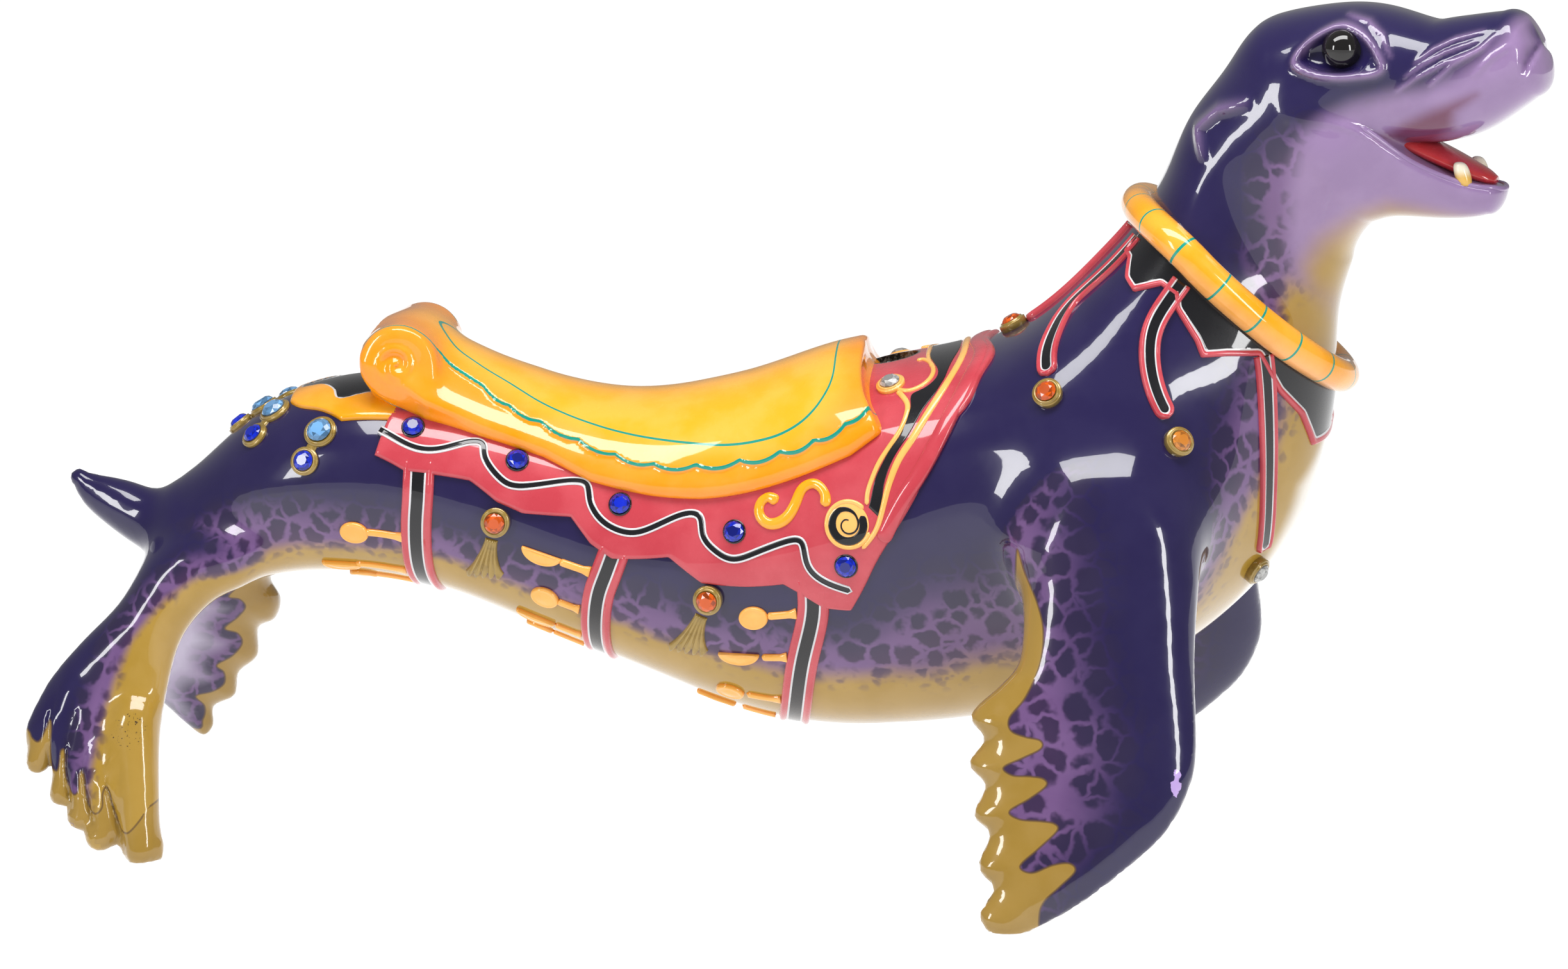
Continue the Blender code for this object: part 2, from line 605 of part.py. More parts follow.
TASSELS = {"rear": ((356, 89), (362, 118)), "front": ((595, 97), (575, 121))}
BLANKET_JEWELS = [(250, 54), (356, 58), (482, 64), (627, 71), (746, 90)]
RUMP_JEWELS = [((168, 55), (151, 70)), ((125, 25), (105, 40)), ((109, 0), (83, 0))]
PENDANTS = [(1040, 75), (1086, 115), (1031, 163)]
NAPE_PENDANT = (1048, 0)
POMMEL_JEWEL = (862, 31)

# Colours from the painted figure
NAVY, YELLOW, CORAL, BLACK, GOLD = (
    (0.026, 0.018, 0.09), (1.0, 0.42, 0.02), (0.75, 0.06, 0.09), (0.005, 0.005, 0.006), (0.28, 0.18, 0.03))
BLUE, LIGHT_BLUE, ORANGE, AMBER, CLEAR = (
    (0.01, 0.03, 0.6), (0.2, 0.45, 0.8), (0.8, 0.12, 0.01), (0.7, 0.25, 0.04), (0.6, 0.6, 0.58))


def blanket_shape():
    """Grid from the blanket's rear edge to its slanted front, and from hem to hem over the back."""
    share, part = np.meshgrid(np.linspace(0, 1, 27), np.linspace(-1, 1, 15), indexing="ij")
    hem = 80.0
    for _ in range(4):
        front = np.interp(hem, BLANKET_FRONT_EDGE[:, 1], BLANKET_FRONT_EDGE[:, 0])
        hem = np.interp(BLANKET_REAR + share * (front - BLANKET_REAR), *BLANKET_LOWER_EDGE.T)
    angle = part * hem
    front = np.interp(np.abs(angle), BLANKET_FRONT_EDGE[:, 1], BLANKET_FRONT_EDGE[:, 0])
    places = np.stack([BLANKET_REAR + share * (front - BLANKET_REAR), angle], -1)
    return raised(skin(places.reshape(-1, 2)).reshape(*share.shape, 3), BLANKET_THICKNESS)


def saddle_shape():
    """Padded seat over the back, thick in its middle and rounded off to its lower edges."""
    run, part = np.meshgrid(np.linspace(190, 832, 25), np.linspace(-1, 1, 15), indexing="ij")
    places = np.stack([run, part * np.interp(run, *SADDLE_EDGE.T)], -1)
    thick = SADDLE_THICKNESS * np.interp(run, *SADDLE_RISE.T) * (1 - 0.75 * np.abs(part) ** 6)
    return raised(skin(places.reshape(-1, 2)).reshape(*run.shape, 3), thick)


def crupper_shape():
    """Pointed panel between the saddle and the rump's jewels."""
    share, angle = np.meshgrid(np.linspace(0, 1, 6), np.linspace(-50, 50, 15), indexing="ij")
    rear = np.interp(np.abs(angle), CRUPPER_EDGE[:5, 1], CRUPPER_EDGE[:5, 0])
    places = np.stack([rear + share * (236 - rear), angle], -1)
    return raised(skin(places.reshape(-1, 2)).reshape(*share.shape, 3), TRIM_THICKNESS)


def collar_shape(sides=8, count=32):
    """Padded tube carried round the neck, its middle a little above the skin."""
    angle = np.linspace(0, 360, count, endpoint=False)
    place = np.interp(np.minimum(angle, 360 - angle), *COLLAR_ROUTE.T)
    middle = skin(np.stack([place, angle], 1))
    out = unit(outward(middle))
    middle = middle + COLLAR_LIFT * out
    way = unit(np.roll(middle, -1, 0) - np.roll(middle, 1, 0))
    across = np.cross(out, way)
    turn = 2 * np.pi * np.arange(sides) / sides
    ring = np.cos(turn)[:, None] * out[:, None] + np.sin(turn)[:, None] * across[:, None]
    points = (middle[:, None] + COLLAR_TUBE / 2 * ring).reshape(-1, 3)
    here = np.arange(count)[:, None] * sides + np.arange(sides)
    after = np.roll(here, -1, 0)
    return points, np.stack([here, after, np.roll(after, -1, 1), np.roll(here, -1, 1)], -1).reshape(-1, 4)


def strap_shape(places):
    """Band round the belly from one hem of the blanket to the other."""
    right = smooth_line(places, 2)
    route = skin(np.vstack([right, right[-2::-1] * (1, -1)]))
    return ribbon(route, STRAP_WIDTH, STRAP_THICKNESS)


def spoon_shapes(head_place, angle, strap_place, bowl):
    """Round or half-round heads of a spoon on each side, and their handles back to the strap."""
    heads, handles = [], []
    for side in (1, -1):
        centre, root = skin([(head_place, side * angle), (strap_place, side * angle)])
        way = root - centre
        size = round_outline(15 * MM, 8) * ((1.2, 0.62) if bowl else (1, 1))
        heads.append(prism(centre, size, way, TRIM_THICKNESS))
        reach = np.linalg.norm(way) / 2
        bar = np.array([(-1, -1), (1, -1), (1, 1), (-1, 1)]) * (reach - 5 * MM, 4 * MM)
        middle = onto_skin((centre + way / 2 + unit(way) * 5 * MM)[None])[0]
        handles.append(prism(middle, bar, way, 0.8 * TRIM_THICKNESS))
    return heads, handles


def tassel_shapes(top, foot):
    """Flared skirt that hangs from a jewel's setting."""
    shapes = []
    for side in (1, -1):
        start, end = skin([(top[0], side * top[1]), (foot[0], side * foot[1])])
        start = start + 0.3 * (end - start)
        reach = np.linalg.norm(end - start) / 2
        skirt = np.array([(-1, -0.35), (0, -0.5), (1, -1), (1.08, 0), (1, 1), (0, 0.5), (-1, 0.35)])
        middle = onto_skin(((start + end) / 2)[None])[0]
        shapes.append(prism(middle, skirt * (reach, 19 * MM), end - start, TRIM_THICKNESS))
    return shapes


def ribbon_shape(places):
    return ribbon(skin(smooth_line(places, 2)), RIBBON_WIDTH, STRAP_THICKNESS)


def jewel_places():
    """Each jewel: its name, colour, size, place on the skin and the height of what it stands on."""
    for number, place in enumerate(BLANKET_JEWELS, 1):
        yield f"Blanket_jewel_{number}", BLUE, JEWEL_SMALL, place, BLANKET_THICKNESS
    yield "Pommel_jewel", CLEAR, JEWEL_SMALL, POMMEL_JEWEL, BLANKET_THICKNESS
    for number, (place, _) in enumerate(TASSELS.values(), 1):
        yield f"Tassel_jewel_{number}", ORANGE, JEWEL_SMALL, place, TRIM_THICKNESS
    for number, (large, small) in enumerate(RUMP_JEWELS, 1):
        yield f"Rump_jewel_{number}_light", LIGHT_BLUE, JEWEL_LARGE, large, 0.0
        yield f"Rump_jewel_{number}_dark", BLUE, JEWEL_SMALL, small, 0.0
    for number, (place, colour) in enumerate(zip(PENDANTS, (ORANGE, AMBER, CLEAR)), 1):
        yield f"Collar_jewel_{number}", colour, JEWEL_SMALL, place, STRAP_THICKNESS
    yield "Collar_jewel_nape", ORANGE, JEWEL_SMALL, NAPE_PENDANT, STRAP_THICKNESS


def set_jewels():
    """Makes every jewel and returns the shapes of the settings, the large and the small apart."""
    settings = {JEWEL_LARGE: [], JEWEL_SMALL: []}
    for name, colour, size, place, under in jewel_places():
        for side, ending in ((1, "_right"), (-1, "_left")) if place[1] else ((1, ""),):
            centre = skin([(place[0], side * place[1])])[0]
            out = unit(outward(centre[None]))[0]
            ahead = np.array((1.0, 0, 0))
            rim = round_outline(size / 2 + BEZEL_RIM, 8)
            settings[size].append(prism(centre, rim, ahead, under + BEZEL_HEIGHT))
            stone_points, stone_faces = faceted_stone(size)
            ahead = unit(ahead - out * (ahead @ out))
            frame = np.stack([ahead, np.cross(out, ahead), out])
            seat = centre + out * (under + BEZEL_HEIGHT + FIT)
            finish(name + ending, seat + stone_points @ frame, stone_faces, colour, 0.05)
    return settings


def faceted_stone(size, sides=8):
    """Flat-backed cut stone: a crown and a flat table."""
    return loft([
        np.column_stack([round_outline(radius, sides), np.full(sides, height)])
        for radius, height in ((size / 2, 0.0), (0.28 * size, 0.22 * size))
    ])


def from_head(points):
    """Points of the head's own frame, turned to where the head looks."""
    c, s = np.cos(HEAD_TURN), np.sin(HEAD_TURN)
    x, y = points[:, 0] - HEAD_AXIS_X, points[:, 1]
    return np.stack([HEAD_AXIS_X + c * x + s * y, -s * x + c * y, points[:, 2]], 1)


def tongue_shape(sides=10):
    """Rounded bar that lies along the top of the lower jaw and ends between the teeth."""
    turn = 2 * np.pi * np.arange(sides) / sides
    rings = []
    for x, z, half_width, half_height in TONGUE:
        around = (np.full(sides, x), half_width * np.cos(turn), z + half_height * np.sin(turn))
        rings.append(from_head(np.stack(around, 1)))
    return loft(rings)


def tooth_shape(side, sides=8):
    """Blunt peg that stands on the lip beside the tongue's tip."""
    rings = []
    for share, height in ((0.8, 0.0), (1.0, 0.4), (0.9, 0.8), (0.5, 1.0)):
        flat = round_outline(share * TOOTH_WIDTH / 2, sides)
        place = TOOTH * (1, -side, 1) + (-0.3 * height * TOOTH_HEIGHT, 0, height * TOOTH_HEIGHT)
        rings.append(from_head(place + np.column_stack([flat, np.zeros(sides)])))
    return loft(rings)


def cantle_shape(sides=20):
    """Scroll across the back of the saddle, a little fuller in its middle."""
    turn = 2 * np.pi * np.arange(sides) / sides
    rings = []
    for share, swell in ((-1, 0.94), (-0.92, 1), (0, 1.03), (0.92, 1), (1, 0.94)):
        radius = swell * CANTLE_ROLL / 2
        x, z = CANTLE_CENTRE[0] + radius * np.cos(turn), CANTLE_CENTRE[1] + radius * np.sin(turn)
        rings.append(np.stack([x, np.full(sides, share * CANTLE_HALF_WIDTH), z], 1))
    return loft(rings)


def bib_shape():
    """Scalloped fringe round the neck under the collar, from one side of the nape to the other."""
    share, angle = np.meshgrid(np.linspace(0, 1, 3), np.linspace(50, 310, 53), indexing="ij")
    hem = np.interp(np.minimum(angle, 360 - angle), BIB_EDGE[:, 1], BIB_EDGE[:, 0])
    top = np.interp(np.minimum(angle, 360 - angle), *COLLAR_ROUTE.T)
    places = np.stack([top + share * (hem - top), angle], -1)
    return raised(skin(places.reshape(-1, 2)).reshape(*share.shape, 3), 0.6 * STRAP_THICKNESS)


def eye_ball(side, name, radius):
    """Glass ball of the eye, or the ball that cuts its socket."""
    shape = bmesh.new()
    bmesh.ops.create_uvsphere(shape, u_segments=12, v_segments=8, radius=radius)
    points = np.array([v.co for v in shape.verts]) + from_head(EYE_CENTRE[None] * (1, -side, 1))
    faces = [[v.index for v in face.verts] for face in shape.faces]
    shape.free()
    return finish(name, points, faces, BLACK, 0.05)


def upright_cylinder(name, diameter, low, high):
    """Cylinder on the pole's axis."""
    flat = round_outline(diameter / 2, 24) + (POLE_X, 0)
    return finish(name, *loft([np.column_stack([flat, np.full(24, z)]) for z in (low, high)]), BLACK)


def box(name, low, high):
    corners = np.array([(low[0], low[1]), (high[0], low[1]), (high[0], high[1]), (low[0], high[1])])
    return finish(name, *loft([np.column_stack([corners, np.full(4, z)]) for z in (low[2], high[2])]), BLACK)


def helper(shape):
    shape.hide_render = True
    shape.display_type = "WIRE"
    return shape


def combine(body, shape, operation):
    """Joins a helper shape to the body, or cuts it out.

    The exact solver loses the body where a strap crosses the blanket's hem. Every shape here is
    closed, which is all that the manifold solver asks for.
    """
    step = body.modifiers.new(shape.name, "BOOLEAN")
    step.operation = operation
    step.object = helper(shape)
    step.solver = "MANIFOLD"


def thin_out(body, share):
    """Merges faces where the surface bends least, until this share of them is left."""
    step = body.modifiers.new("Thin", "DECIMATE")
    step.ratio = share


for old in list(bpy.data.objects):
    bpy.data.objects.remove(old)

# The figure's skin
low, high = pattern([(-880, -440, -40), (890, 440, 980)])
skin_points, skin_quads = skin_mesh(low, high, SKIN_STEP)
body = finish("Sea_lion", skin_points, skin_quads, NAVY, 0.15)
thin_out(body, SKIN_FACES / (2 * len(skin_quads)))

# Saddle, blanket and crupper
combine(body, finish("Crupper", *crupper_shape(), YELLOW), "UNION")
combine(body, finish("Blanket", *blanket_shape(), CORAL), "UNION")
combine(body, finish("Saddle", *saddle_shape(), YELLOW), "UNION")
combine(body, finish("Cantle_roll", *cantle_shape(), YELLOW), "UNION")

# Straps, spoons and tassels
straps = [strap_shape(places) for places in STRAPS.values()]
combine(body, finish("Girth_straps", *gather(straps), BLACK), "UNION")
heads, handles = [], []
for rows in SPOONS.values():
    for count, (place, angle, strap_place) in enumerate(rows):
        more_heads, more_handles = spoon_shapes(place, angle, strap_place, bowl=count % 2 == 1)
        heads += more_heads
        handles += more_handles
tassels = [shape for top, foot in TASSELS.values() for shape in tassel_shapes(top, foot)]
combine(body, finish("Spoon_handles_and_tassels", *gather(handles + tassels), YELLOW), "UNION")
combine(body, finish("Spoon_heads", *gather(heads), YELLOW), "UNION")

# Collar
ribbons = [ribbon_shape(half) for places in RIBBONS for half in both_sides(places)]
ribbons.append(ribbon_shape(NAPE_RIBBON))
combine(body, finish("Collar_bib", *bib_shape(), BLACK), "UNION")
combine(body, finish("Collar_ribbons", *gather(ribbons), CORAL), "UNION")
combine(body, finish("Collar_tube", *collar_shape(), YELLOW), "UNION")

# Mouth
mouth = [tongue_shape(), tooth_shape(1), tooth_shape(-1)]
combine(body, finish("Tongue_and_teeth", *gather(mouth), CORAL), "UNION")
thin_out(body, RELIEF_SHARE)

# Jewels and their settings
for size, shapes in set_jewels().items():
    combine(body, finish(f"Settings_{1000 * size:.0f}", *gather(shapes), GOLD), "UNION")

# Glass eyes in their sockets
for side, name in ((1, "Eye_right"), (-1, "Eye_left")):
    eye_ball(side, name, EYE_DIAMETER / 2)
    combine(body, eye_ball(side, name + "_socket", EYE_DIAMETER / 2 + FIT), "DIFFERENCE")

# Pole bore through the body, its seat under the belly, and feet cut flat at the floor
belly = onto_skin(np.array([(POLE_X, 0, 124 * MM)]), limit=20 * MM, rounds=4)[0, 2]
combine(body, upright_cylinder("Pole_seat", POLE_SEAT, 0, belly + SEAT_DEPTH), "DIFFERENCE")
combine(body, upright_cylinder("Pole_bore", POLE_BORE, 0, LENGTH), "DIFFERENCE")
combine(body, box("Floor", (-LENGTH, -LENGTH, -LENGTH), (LENGTH, LENGTH, 0)), "DIFFERENCE")
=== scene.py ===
"""Carousel sea lion, painted: the looks of one cast figure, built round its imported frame.

Metres, +Z up, +X to the animal's front, its right side towards -Y. Tables of the free form are in
millimetres. A place on the skin is (mm along the spine from the tail, degrees round from the
ridge), with degrees positive on the right side and 180 at the belly.
"""

import bmesh
import bpy
import numpy as np
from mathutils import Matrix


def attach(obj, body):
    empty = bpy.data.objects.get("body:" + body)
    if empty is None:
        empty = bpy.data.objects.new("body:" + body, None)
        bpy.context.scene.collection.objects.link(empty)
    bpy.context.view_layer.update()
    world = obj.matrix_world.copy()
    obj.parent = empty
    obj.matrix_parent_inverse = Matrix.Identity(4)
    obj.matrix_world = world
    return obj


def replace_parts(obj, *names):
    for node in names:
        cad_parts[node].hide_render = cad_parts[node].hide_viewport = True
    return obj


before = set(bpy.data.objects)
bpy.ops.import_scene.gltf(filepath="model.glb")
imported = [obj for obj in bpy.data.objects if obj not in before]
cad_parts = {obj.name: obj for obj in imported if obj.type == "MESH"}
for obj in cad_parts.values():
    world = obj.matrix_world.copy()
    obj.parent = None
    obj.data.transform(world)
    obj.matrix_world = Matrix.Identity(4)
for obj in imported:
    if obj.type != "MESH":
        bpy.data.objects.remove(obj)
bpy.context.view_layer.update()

# The casting, from the tail to the collar
# A hollow moulded shell in glass fibre, smoothed and sprayed. Its skin is where a distance field
# is nought: ovals carried along curves and flat plates with round edges, blended together.
MM = 0.001
BODY_STEP = 0.0064   # spacing of the body's mesh
FAR = 120 * MM                                # distance given to points well clear of a form


def pattern(rows):
    """A table in millimetres as metres."""
    return np.array(rows, float) * MM


TORSO = pattern([
    (-637, 330, 60, 60, 63), (-540, 378, 95, 95, 105), (-440, 397, 108, 110, 120),
    (-330, 378, 112, 112, 127), (-220, 342, 126, 118, 134), (-110, 318, 150, 140, 149),
    (0, 320, 164, 190, 166), (110, 350, 170, 226, 180), (210, 395, 158, 256, 188),
    (290, 455, 128, 272, 184), (355, 530, 95, 262, 166), (410, 610, 76, 214, 142),
    (455, 685, 66, 168, 120), (510, 755, 86, 145, 112), (575, 800, 105, 120, 104),
])
MUZZLE = pattern([
    (560, 835, 75, 75, 90), (610, 848, 75, 72, 94), (655, 848, 70, 68, 84), (700, 846, 63, 65, 74),
    (735, 853, 61, 62, 68), (765, 865, 55, 55, 62), (792, 877, 47, 48, 52),
])
JAW = pattern([
    (600, 800, 20, 90, 88), (640, 795, 10, 100, 80), (670, 776, 8, 80, 66), (700, 757, 8, 60, 52),
    (740, 741, 7, 40, 40), (768, 735, 6, 26, 30),
])
TAIL = pattern([
    (-600, 350, 50, 60, 60), (-660, 338, 36, 50, 48), (-702, 341, 34, 34, 36),
    (-735, 353, 27, 30, 28), (-765, 369, 19, 22, 18), (-783, 384, 10, 11, 10),
])
FORE_FLIPPER = pattern([
    (300, 464), (262, 390), (263, 363), (270, 325), (267, 263), (250, 238), (218, 207), (232, 183),
    (217, 160), (234, 139), (223, 111), (240, 93), (229, 62), (245, 41), (232, 19), (238, 3),
    (259, -8), (293, 7), (322, 22), (351, 41), (393, 74), (420, 100), (440, 135), (449, 175),
    (446, 260), (448, 353), (440, 418), (380, 483),
])
RIGHT_HIND = pattern([
    (-688, 317), (-724, 262), (-762, 222), (-788, 192), (-803, 169), (-819, 131), (-812, 103),
    (-796, 97), (-768, 62), (-742, 39), (-714, 17), (-690, 4), (-667, -4), (-660, 12), (-676, 54),
    (-674, 105), (-668, 160), (-654, 223), (-622, 264), (-580, 290), (-550, 337), (-640, 346),
])
LEFT_HIND = pattern([
    (-688, 317), (-724, 262), (-762, 222), (-788, 173), (-790, 140), (-760, 114), (-735, 91),
    (-712, 66), (-692, 49), (-680, 63), (-676, 88), (-650, 103), (-642, 133), (-618, 155),
    (-613, 191), (-592, 204), (-584, 229), (-593, 257), (-570, 290), (-550, 337), (-640, 346),
])
TOES = pattern([
    (-765, 173, -803, 99, 18, 13), (-752, 154, -775, 67, 18, 13), (-736, 148, -752, 45, 18, 15),
    (-715, 140, -728, 27, 20, 18), (-698, 150, -684, 15, 26, 20),
])
TOE_GROOVES = [pattern(line) for line in (
    [(-789, 84), (-789, 101), (-789, 145), (-783, 166)],
    [(-758, 48), (-764, 63), (-769, 96), (-769, 115), (-763, 144), (-757, 171)],
    [(-730, 24), (-736, 40), (-745, 71), (-749, 94), (-747, 116), (-741, 141)],
    [(-696, 4), (-702, 20), (-710, 43), (-718, 71), (-722, 79), (-724, 103), (-722, 130)],
)]
FORE_THICKNESS = pattern([(0, 16), (100, 21), (220, 28), (350, 45), (450, 70)])
HIND_THICKNESS = pattern([(0, 14), (100, 19), (200, 28), (300, 45), (360, 60)])
FORE_EDGE, HIND_EDGE = 60 * MM, 35 * MM       # how wide the round edge of a flipper is
FORE_FOOT, RIGHT_HIND_FOOT, LEFT_HIND_FOOT = -360 * MM, -174 * MM, -190 * MM
SHOULDER_TOP = pattern((380, 450))
FORE_LEAN, FORE_BEND, ARMPIT = 0.40, 1.6, 300 * MM
HIND_LEAN = 0.375
FORE_SWINGS = {-1: (0.0, 0.0), 1: (np.radians(5.7), 55 * MM)}     # by side: turned and set forward
COLLAR_CENTRE = pattern((485, 614))
COLLAR_LEAN = np.radians(40.4)
HEAD_TURN = np.radians(22)
HEAD_TURN_OVER = 120 * MM
HEAD_AXIS_X = 500 * MM
EYE_CENTRE = pattern((623, 72, 880))
LID = pattern([(580, 866), (595, 890), (622, 905), (650, 893), (670, 862), (640, 853), (606, 854)])
EAR = pattern([(528, 822), (498, 814), (474, 794), (478, 768)])
WHISKERS = [pattern(line) for line in (
    [(702, 869), (718, 883), (739, 894), (765, 902)], [(693, 854), (709, 867), (730, 880), (761, 892)],
    [(685, 839), (702, 852), (731, 869), (772, 887)], [(719, 847), (740, 868), (763, 882), (779, 898)],
    [(762, 858), (778, 877), (793, 888)],
)]
EYE_FOLD = pattern([(622, 915), (646, 909), (664, 896), (677, 874)])
NOSTRIL = pattern([(800, 912), (812, 890), (808, 862)])
OVAL, FULL_OVAL, ELLIPSE = 2.1, 2.3, 2.0      # powers of a section: 2 is an ellipse, more is squarer
TORSO_ENDS, TAIL_ENDS, MUZZLE_ENDS, JAW_ENDS = pattern([(60, 70), (40, 12), (60, 24), (50, 12)])
HEAD_FILLET, JAW_FILLET, TAIL_FILLET = pattern((50, 14, 30))
FORE_FILLET, HIND_FILLET, TOE_FILLET = pattern((90, 60, 12))
SHOULDER, SHOULDER_SIZE = pattern((350, 100, 400)), pattern((130, 105, 160))
TOE_ROOT_OUT, TOE_TIP_OUT = pattern((-12, -4))                   # aside of the hind flipper's middle
TOE_GROOVE = pattern((2.8, 4.2))                                 # width and depth
FACE_ABOVE, FACE_BAND = 740 * MM, 40 * MM                        # where the head is carved
EYE_HOLLOW, EYE_HOLLOW_SIZE = pattern((0, 17, -3)), pattern((40, 19, 21))
LID_RIDGE, EAR_RIDGE, WHISKER_RIDGE, NOSTRIL_GROOVE = pattern([(4, 5), (7, 9), (2.8, 3), (4, 6)])


def spline_through(stations):
    """Control points of the smooth curve through the stations, with one more past each end."""
    count = len(stations)
    weight = 4 * np.eye(count) + np.eye(count, k=1) + np.eye(count, k=-1)
    weight[0], weight[-1] = 6 * np.eye(count)[0], 6 * np.eye(count)[-1]
    inner = np.linalg.solve(weight / 6, stations)
    return np.vstack([2 * inner[0] - inner[1], inner, 2 * inner[-1] - inner[-2]])


def along(control, s):
    """The cubic B-spline's place, slope and bend at station s, a whole number at each station."""
    first = np.clip(np.floor(s).astype(int), 0, len(control) - 4)
    t = (s - first)[:, None]
    place = ((1 - t) ** 3, 3 * t**3 - 6 * t**2 + 4, -3 * t**3 + 3 * t**2 + 3 * t + 1, t**3)
    slope = (-3 * (1 - t) ** 2, 9 * t**2 - 12 * t, -9 * t**2 + 6 * t + 3, 3 * t**2)
    bend = (6 * (1 - t), 18 * t - 12, 6 - 18 * t, 6 * t)
    near = [control[first + k] for k in range(4)]
    return [sum(w * p for w, p in zip(basis, near)) / 6 for basis in (place, slope, bend)]


def nearest_station(control, flat):
    """Station whose section passes through each point (x, z): the nearest of a few, then Newton."""
    last = len(control) - 3
    tries = np.linspace(0, last, 4 * last + 1)
    spots = along(control, tries)[0][:, :2]
    s = np.concatenate([
        tries[((part[:, None] - spots) ** 2).sum(-1).argmin(1)]
        for part in np.array_split(flat, len(flat) // 100000 + 1)
    ])
    for _ in range(3):
        at, way, bend = (v[:, :2] for v in along(control, s))
        off, run = flat - at, (way**2).sum(1)
        step = (off * way).sum(1) / np.maximum(run - (off * bend).sum(1), 0.3 * run)
        s = np.clip(s + np.clip(step, -0.3, 0.3), 0, last)
    return s


def level(ratio, size, power=ELLIPSE):
    """Distance to the surface where the powers of the ratios add up to 1, to first order."""
    k = (ratio**power).sum(0) ** (1 / power) + 1e-9
    slope = np.sqrt(((ratio ** (power - 1) / size) ** 2).sum(0)) * k ** (1 - power) + 1e-6
    return (k - 1) / slope


def tube(p, stations, ends, power=OVAL):
    """Distance to oval sections carried along a curve in the XZ plane, with round ends."""
    reach = stations[:, 2:].max() + FAR
    flat = p[:, [0, 2]]
    low, high = stations[:, :2].min(0) - reach, stations[:, :2].max(0) + reach
    near = ((flat > low) & (flat < high)).all(1) & (np.abs(p[:, 1]) < reach)
    out = np.full(len(p), FAR)
    flat, aside = flat[near], p[near, 1]
    control, last = spline_through(stations), len(stations) - 1
    s = nearest_station(control, flat)
    at, way, _ = along(control, s)
    way = way[:, :2] / np.linalg.norm(way[:, :2], axis=1)[:, None]
    off = flat - at[:, :2]
    beyond = np.where((s <= 0) | (s >= last), (off * way).sum(1), 0)
    up = off[:, 1] * way[:, 0] - off[:, 0] * way[:, 1]
    size = np.stack([np.where(up > 0, at[:, 2], at[:, 3]), at[:, 4], np.where(s < last / 2, *ends)])
    out[near] = level(np.abs([up, aside, beyond]) / size, size, power)
    return out


def smooth_outline(corners, per=6):
    """Closed curve through the corners, whose slope at each is that of its two neighbours' chord."""
    before, after, next_one = np.roll(corners, 1, 0), np.roll(corners, -1, 0), np.roll(corners, -2, 0)
    t = (np.arange(per) / per)[None, :, None]
    a, b, c, d = (v[:, None] for v in (before, corners, after, next_one))
    curve = 2 * b + (c - a) * t + (2 * a - 5 * b + 4 * c - d) * t**2 + (3 * b - a - 3 * c + d) * t**3
    return (curve / 2).reshape(-1, 2)


def depth_inside(flat, outline):
    """Distance in from a closed outline, below zero outside it."""
    way = np.roll(outline, -1, 0) - outline
    out = []
    for part in np.array_split(flat, len(flat) // 50000 + 1):
        off = part[:, None] - outline
        t = np.clip((off * way).sum(-1) / np.maximum((way**2).sum(-1), 1e-12), 0, 1)
        gap = np.sqrt(((off - t[..., None] * way) ** 2).sum(-1).min(1))
        rises = (off[..., 1] < 0) != (off[..., 1] < way[:, 1])
        left = off[..., 0] * way[:, 1] < off[..., 1] * way[:, 0]
        crossed = rises & (left == (way[:, 1] > 0))
        out.append(np.where(crossed.sum(1) % 2 == 1, gap, -gap))
    return np.concatenate(out)


def depth_map(outline, step=2 * MM):
    """Depth inside an outline, worked out once on a fine grid and read between its points."""
    low = outline.min(0) - FAR - 2 * step
    counts = np.ceil((outline.max(0) + FAR + 2 * step - low) / step).astype(int) + 1
    lines = [low[i] + step * np.arange(counts[i]) for i in (0, 1)]
    grid = depth_inside(np.stack(np.meshgrid(*lines, indexing="ij"), -1).reshape(-1, 2), outline)
    grid = grid.reshape(counts)

    def read(flat):
        """Depth at points, from the four grid points round each."""
        at = np.clip((flat - low) / step, 0, counts - 1.001)
        i, j = at.astype(int).T
        t, u = (at - at.astype(int)).T
        near = grid[i, j] * (1 - t) + grid[i + 1, j] * t
        return near * (1 - u) + (grid[i, j + 1] * (1 - t) + grid[i + 1, j + 1] * t) * u
    return read


PLATES = {
    name: (outline, depth_map(smooth_outline(outline)))
    for name, outline in (("fore", FORE_FLIPPER), ("right hind", RIGHT_HIND), ("left hind", LEFT_HIND))
}
lid_depth = depth_map(smooth_outline(LID), 1 * MM)


def plate(p, name, edge, thickness):
    """Distance to a flat plate whose oval edge takes up the given width. Its side is along y."""
    outline, depth = PLATES[name]
    flat = p[:, [0, 2]]
    near = ((flat > outline.min(0) - FAR) & (flat < outline.max(0) + FAR)).all(1)
    near &= np.abs(p[:, 1]) < 1.5 * FAR
    out = np.full(len(p), FAR)
    inside = depth(flat[near])
    half = np.interp(p[near, 2], *thickness.T)
    size = np.stack([np.full_like(half, edge), half])
    ratio = np.stack([np.maximum(1 - inside / edge, 0), np.abs(p[near, 1]) / half])
    out[near] = level(ratio, size)
    return out


def ball(p, centre, size):
    """Distance to an oval ball, size being its half lengths along x, y and z."""
    size = np.array(size)[:, None]
    return level(np.abs(p - centre).T / size, size)


def cone(p, start, end, start_radius, end_radius):
    """Distance to a round cone with ball ends."""
    way = end - start
    t = np.clip((p - start) @ way / (way @ way), 0, 1)
    radius = start_radius + (end_radius - start_radius) * t
    return np.linalg.norm(p - start - t[:, None] * way, axis=1) - radius


def blend(a, b, over):
    """The nearer of two forms, with a fillet where they are within this of each other."""
    return np.minimum(a, b) - np.maximum(over - np.abs(a - b), 0) ** 3 / (6 * over**2)


def carved_out(form, cut, over):
    """A form with another cut out of it, the rim between them rounded over."""
    return -blend(-form, cut, over)


